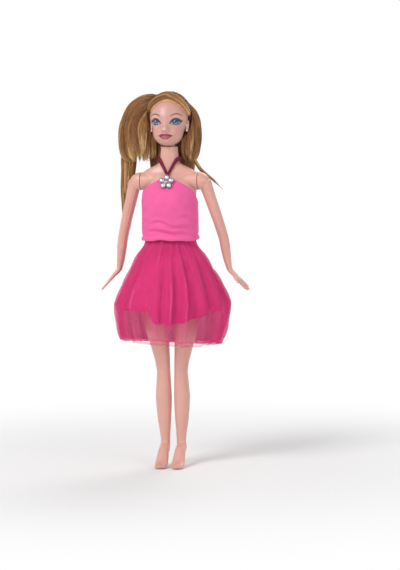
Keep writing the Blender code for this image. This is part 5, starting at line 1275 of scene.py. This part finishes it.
def clear_of_head(points, gap):
    """Points pushed out to stand clear of the head."""
    from_head = points - np.array([0.0, 0.0, HEAD_Z])
    far = np.linalg.norm(from_head, axis=-1)
    direction = from_head / far[..., None]
    skull = egg_reach(direction, (0.0, SKULL_Y, SKULL_RISE), SKULL_RADII)
    jaw = egg_reach(direction, (0.0, JAW_Y, -JAW_DROP), JAW_RADII)
    least = np.maximum(skull, jaw) + gap
    return points + direction * np.maximum(least - far, 0.0)[..., None]


def hair_drop(share):
    """How far down the hair a place lies: it follows the head first and then hangs."""
    over = np.minimum(share, OVER_HEAD_SHARE) / OVER_HEAD_SHARE
    hanging = np.maximum(share - OVER_HEAD_SHARE, 0.0) / (1 - OVER_HEAD_SHARE)
    return over * HAIR_OVER_HEAD + hanging * (HAIR_LENGTH - HAIR_OVER_HEAD)


def lock_line(name, count):
    """A lock's middle line, section sizes and the directions of its depth, root to tip."""
    x, y, down, wide, deep = np.array(LOCK_SHARES[name]).T
    rows = np.stack([x * HAIR_SPREAD, y * HAIR_DEPTH, HAIR_TOP - hair_drop(down), wide * HAIR_SPREAD,
                     deep * HAIR_DEPTH], axis=1)
    rows = resampled(rows, count)
    tangent = np.gradient(rows[:, :3], axis=0)
    tangent /= np.linalg.norm(tangent, axis=1)[:, None]
    axis = np.array([1.0, 0.0, 0.0]) - tangent * tangent[:, :1]
    axis /= np.linalg.norm(axis, axis=1)[:, None]
    return rows, axis, np.cross(tangent, axis)


def crown_start(across, back):
    """A place on the crown from its way across and back from the head's middle."""
    direction = np.array([across, back, math.sqrt(max(0.0, SKULL_RADII[2] ** 2 - across ** 2 - back ** 2))])
    direction /= np.linalg.norm(direction)
    around, up = math.atan2(direction[1], direction[0]), math.asin(direction[2])
    return head_points(np.array([around]), np.array([up]), CROWN_LIFT)[0]


def bowed(path, start, join):
    """A strand's path that rises from the crown and bows into its lock."""
    rise = np.linspace(0.0, 1.0, BOW_STEPS)[:-1, None]
    foot, step = path[join], path[join + 1] - path[join]
    over = foot - step / np.linalg.norm(step) * np.linalg.norm(foot - start) * 0.4
    bow = start * (1 - rise) ** 2 + 2 * over * rise * (1 - rise) + foot * rise ** 2
    return np.concatenate([bow, path[join:]])


def make_lock(name, material):
    """A hanging lock of clumped strands within a CAD lock's form."""
    clumps, strands, spread, ends, wisp, seed, crown, join, size = LOCKS[name]
    own = np.random.default_rng(seed)
    rows, axis, depth = lock_line(name, 60)
    paths, radii, tones = [], [], []
    way = np.linspace(0.0, 1.0, LOCK_STEPS)
    for k in range(clumps):
        turn = 2 * math.pi * (k + own.uniform(-0.4, 0.4)) / clumps * 2.618
        ring = size * own.choice(RING_SHARES, p=RING_CHANCES) * own.uniform(0.97, 1.02)
        end = own.uniform(*ends)
        clump_tone = own.normal(0.42, 0.15)
        wave_size, wave_phase = own.uniform(0.2, 1.0) * wisp, own.uniform(0, 2 * math.pi)
        drift = own.normal(0, 0.16)
        for _ in range(strands):
            lean = turn + drift * way + own.normal(0, spread) * (1 - 0.92 * way ** 2.5)
            out = ring * own.uniform(0.965, 1.03)
            reach = way * end * own.uniform(0.95, 1.0)
            at = np.clip(reach, 0, 1) * (len(rows) - 1)
            low = np.clip(at.astype(int), 0, len(rows) - 2)
            share = (at - low)[:, None]
            row = rows[low] * (1 - share) + rows[low + 1] * share
            a, d = axis[low], depth[low]
            path = row[:, :3] + a * (np.cos(lean) * out * row[:, 3])[:, None]
            path += d * (np.sin(lean) * out * row[:, 4])[:, None]
            path += (rows[-1, :3] - rows[-3, :3]) * np.maximum(reach - 1, 0)[:, None] * 30
            wander = a * np.sin(7 * way + wave_phase)[:, None] + d * np.cos(5 * way + wave_phase)[:, None]
            path += wander * wave_size * way[:, None] ** 0.7
            if crown:
                x, y, wide, deep = crown
                start = crown_start(x + wide * math.cos(turn) * ring + own.normal(0, CROWN_SCATTER),
                                    y + deep * math.sin(turn) * ring + own.normal(0, CROWN_SCATTER))
                path = bowed(path, start, join)
            paths.append(clear_of_head(path, CROWN_LIFT + STRAND_LIFT * own.uniform()))
            along = np.linspace(0.0, 1.0, len(path))
            thick = own.uniform(THICK_FROM, THICK_TO) * (1 - 0.85 * along ** 6)
            radii.append(thick * (0.35 + 0.65 * np.sin(math.pi * np.clip(along * 0.9 + 0.12, 0, 1)) ** 0.5))
            tones.append(np.clip(clump_tone + own.normal(0, 0.09), 0.02, 0.95))
    parts = math.ceil(len(paths) / MOST_STRANDS)
    for k in range(parts):
        some = slice(k, None, parts)
        item = strand_mesh(f"{name}_strands_{k + 1}", paths[some], radii[some], tones[some], material)
        wear(item, "head_body", [name] if name == "hair_stray_lock" else ())


def make_base(node, material, inward):
    """The dark inner body of a lock, a little inside its CAD form: painted shade between the strands."""
    item = smoothed_copy(node, node + "_base", material, *BASE_SKIN)
    points = corners(item) - np.array([v.normal for v in item.data.vertices]) * inward
    if node in LOCK_SHARES:
        below = np.minimum(points[:, 2] - points[:, 2].min() - TIP_FREE, 0.0)
        points[:, 2] -= below * 0.7
    return wear(move_corners(item, points), "head_body", [node])


def hairline(around):
    """The rise of the hairline at angles round the head."""
    rises = between(HAIRLINE_DEPTH_SHARES, [[rise] for rise in HAIRLINE_RISES], np.sin(around))
    return np.radians(rises[:, 0])


def make_crown(material):
    """Strands combed back over the skull from the hairline."""
    own = np.random.default_rng(11)
    paths, radii, tones = [], [], []
    thin = np.linspace(1, 0.5, CROWN_STEPS)
    rising = np.clip(np.linspace(0, 5, CROWN_STEPS), 0, 1) ** 0.5
    for _ in range(CROWN_STRANDS):
        around = own.uniform(-math.pi, 0)
        rise = hairline(np.array([around]))[0] + own.uniform(-0.02, 0.55)
        start = head_directions(around, min(rise, 1.55))
        sweep = np.linspace(0.0, own.uniform(1.1, 2.0), CROWN_STEPS)
        x = start[0] + np.sign(start[0]) * 0.55 * np.sin(sweep) * 0.35 * (1 - abs(start[0]))
        y = start[1] * np.cos(sweep) + start[2] * np.sin(sweep)
        z = -start[1] * np.sin(sweep) + start[2] * np.cos(sweep)
        direction = np.stack([x, y, z], axis=1)
        direction /= np.linalg.norm(direction, axis=1)[:, None]
        skin = head_points(np.arctan2(direction[:, 1], direction[:, 0]), np.arcsin(direction[:, 2]))
        lift = CROWN_SKIN_LIFT + CROWN_RISE * rising * own.uniform(0.6, 1.1)
        paths.append(skin + direction * lift[:, None])
        radii.append(own.uniform(0.00016, 0.00026) * thin)
        tones.append(np.clip(0.42 + 0.16 * math.sin(9 * around) + own.normal(0, 0.10), 0.02, 0.9))
    item = strand_mesh("crown_strands", paths, radii, tones, material, tip=0.6)
    return wear(item, "head_body")


def band_line():
    """The middle of the swept band along the hairline, with its radii."""
    around = np.radians(np.linspace(-168.0, -4.0, BAND_STEPS))
    radii = FRINGE_RADIUS * (0.4 + 0.6 * np.sin(math.pi * np.linspace(0.0, 1.0, BAND_STEPS)) ** 0.5)
    rise = hairline(around) - FRINGE_DROP / SKULL_RADII[2]
    return head_points(around, rise, radii + FRINGE_LIFT), radii


def make_band(material):
    """The thick band of hair swept along the hairline, slightly twisted."""
    own = np.random.default_rng(12)
    centres, size = band_line()
    tangent = np.gradient(centres, axis=0)
    tangent /= np.linalg.norm(tangent, axis=1)[:, None]
    out = centres - np.array([0.0, 0.0, HEAD_Z])
    out -= tangent * (out * tangent).sum(1)[:, None]
    out /= np.linalg.norm(out, axis=1)[:, None]
    across = np.cross(tangent, out)
    way = np.linspace(0, 1, BAND_STEPS)
    paths, radii, tones = [], [], []
    for k in range(BAND_STRANDS):
        turn = own.uniform(0, 2 * math.pi)
        ring = 1.0 if k % 3 else own.uniform(0.5, 0.95)
        lean = turn + 1.3 * way + 0.06 * np.sin(9 * way + turn * 3)
        reach = size * ring * own.uniform(0.97, 1.06)
        spread = out * (np.cos(lean) * reach)[:, None] + across * (np.sin(lean) * reach * 1.15)[:, None]
        paths.append(centres + spread)
        radii.append(np.full(BAND_STEPS, own.uniform(0.00015, 0.00024)))
        tones.append(np.clip(0.44 + 0.14 * math.sin(5 * turn) + own.normal(0, 0.09), 0.02, 0.9))
    item = strand_mesh("front_band_strands", paths, radii, tones, material)
    return wear(item, "head_body")


def make_roots(material):
    """The row of stitched roots along the hairline."""
    paths, tones = [], []
    for row, shift in ((0, 0.0), (1, 0.5)):
        for around in np.radians(np.linspace(-160, -8, 74) + shift):
            rise = hairline(np.array([around]))[0] - (ROOT_DROP - ROOT_ROW_STEP * row) / SKULL_RADII[2]
            stations = [head_points(around + 0.012 * share, rise + up, lift * MM)
                        for share, up, lift in ROOT_STATIONS]
            paths.append(curve_through(stations, 8))
            tones.append(0.90 + 0.1 * math.sin(40 * around))
    radii = np.tile(np.linspace(*ROOT_RADII, 8), (len(paths), 1))
    return wear(strand_mesh("hairline_roots", paths, radii, tones, material, 5), "head_body")


def make_hair():
    """All the hair."""
    hair = hair_material()
    # The inner bodies' dark brown is painted shade deep in the hair, between the strands
    base, tree, shader = blank("hair_painted_shade", 0.6)
    grain = noise(tree, 500.0, 4.0, (1.0, 1.0, 0.12))
    toned(tree, shader, grain, (0.3, (0.090, 0.036, 0.016)), (0.7, (0.180, 0.078, 0.034)))
    make_base("hair_crown", base, BASE_IN)
    make_base("hair_front_band", base, BAND_BASE_IN)
    for node in LOCK_SHARES:
        if node != "hair_stray_lock":
            make_base(node, base, BASE_IN)
    make_crown(hair)
    make_band(hair)
    make_roots(hair)
    for name in LOCKS:
        make_lock(name, hair)


make_camera()
make_lights()
make_floor()
make_body()
make_head()
make_ears(bpy.data.materials["head_vinyl"])
make_face_paint()
make_bodice()
make_closure()
make_waistband()
make_skirt()
make_strap()
make_brooch()
make_hair()
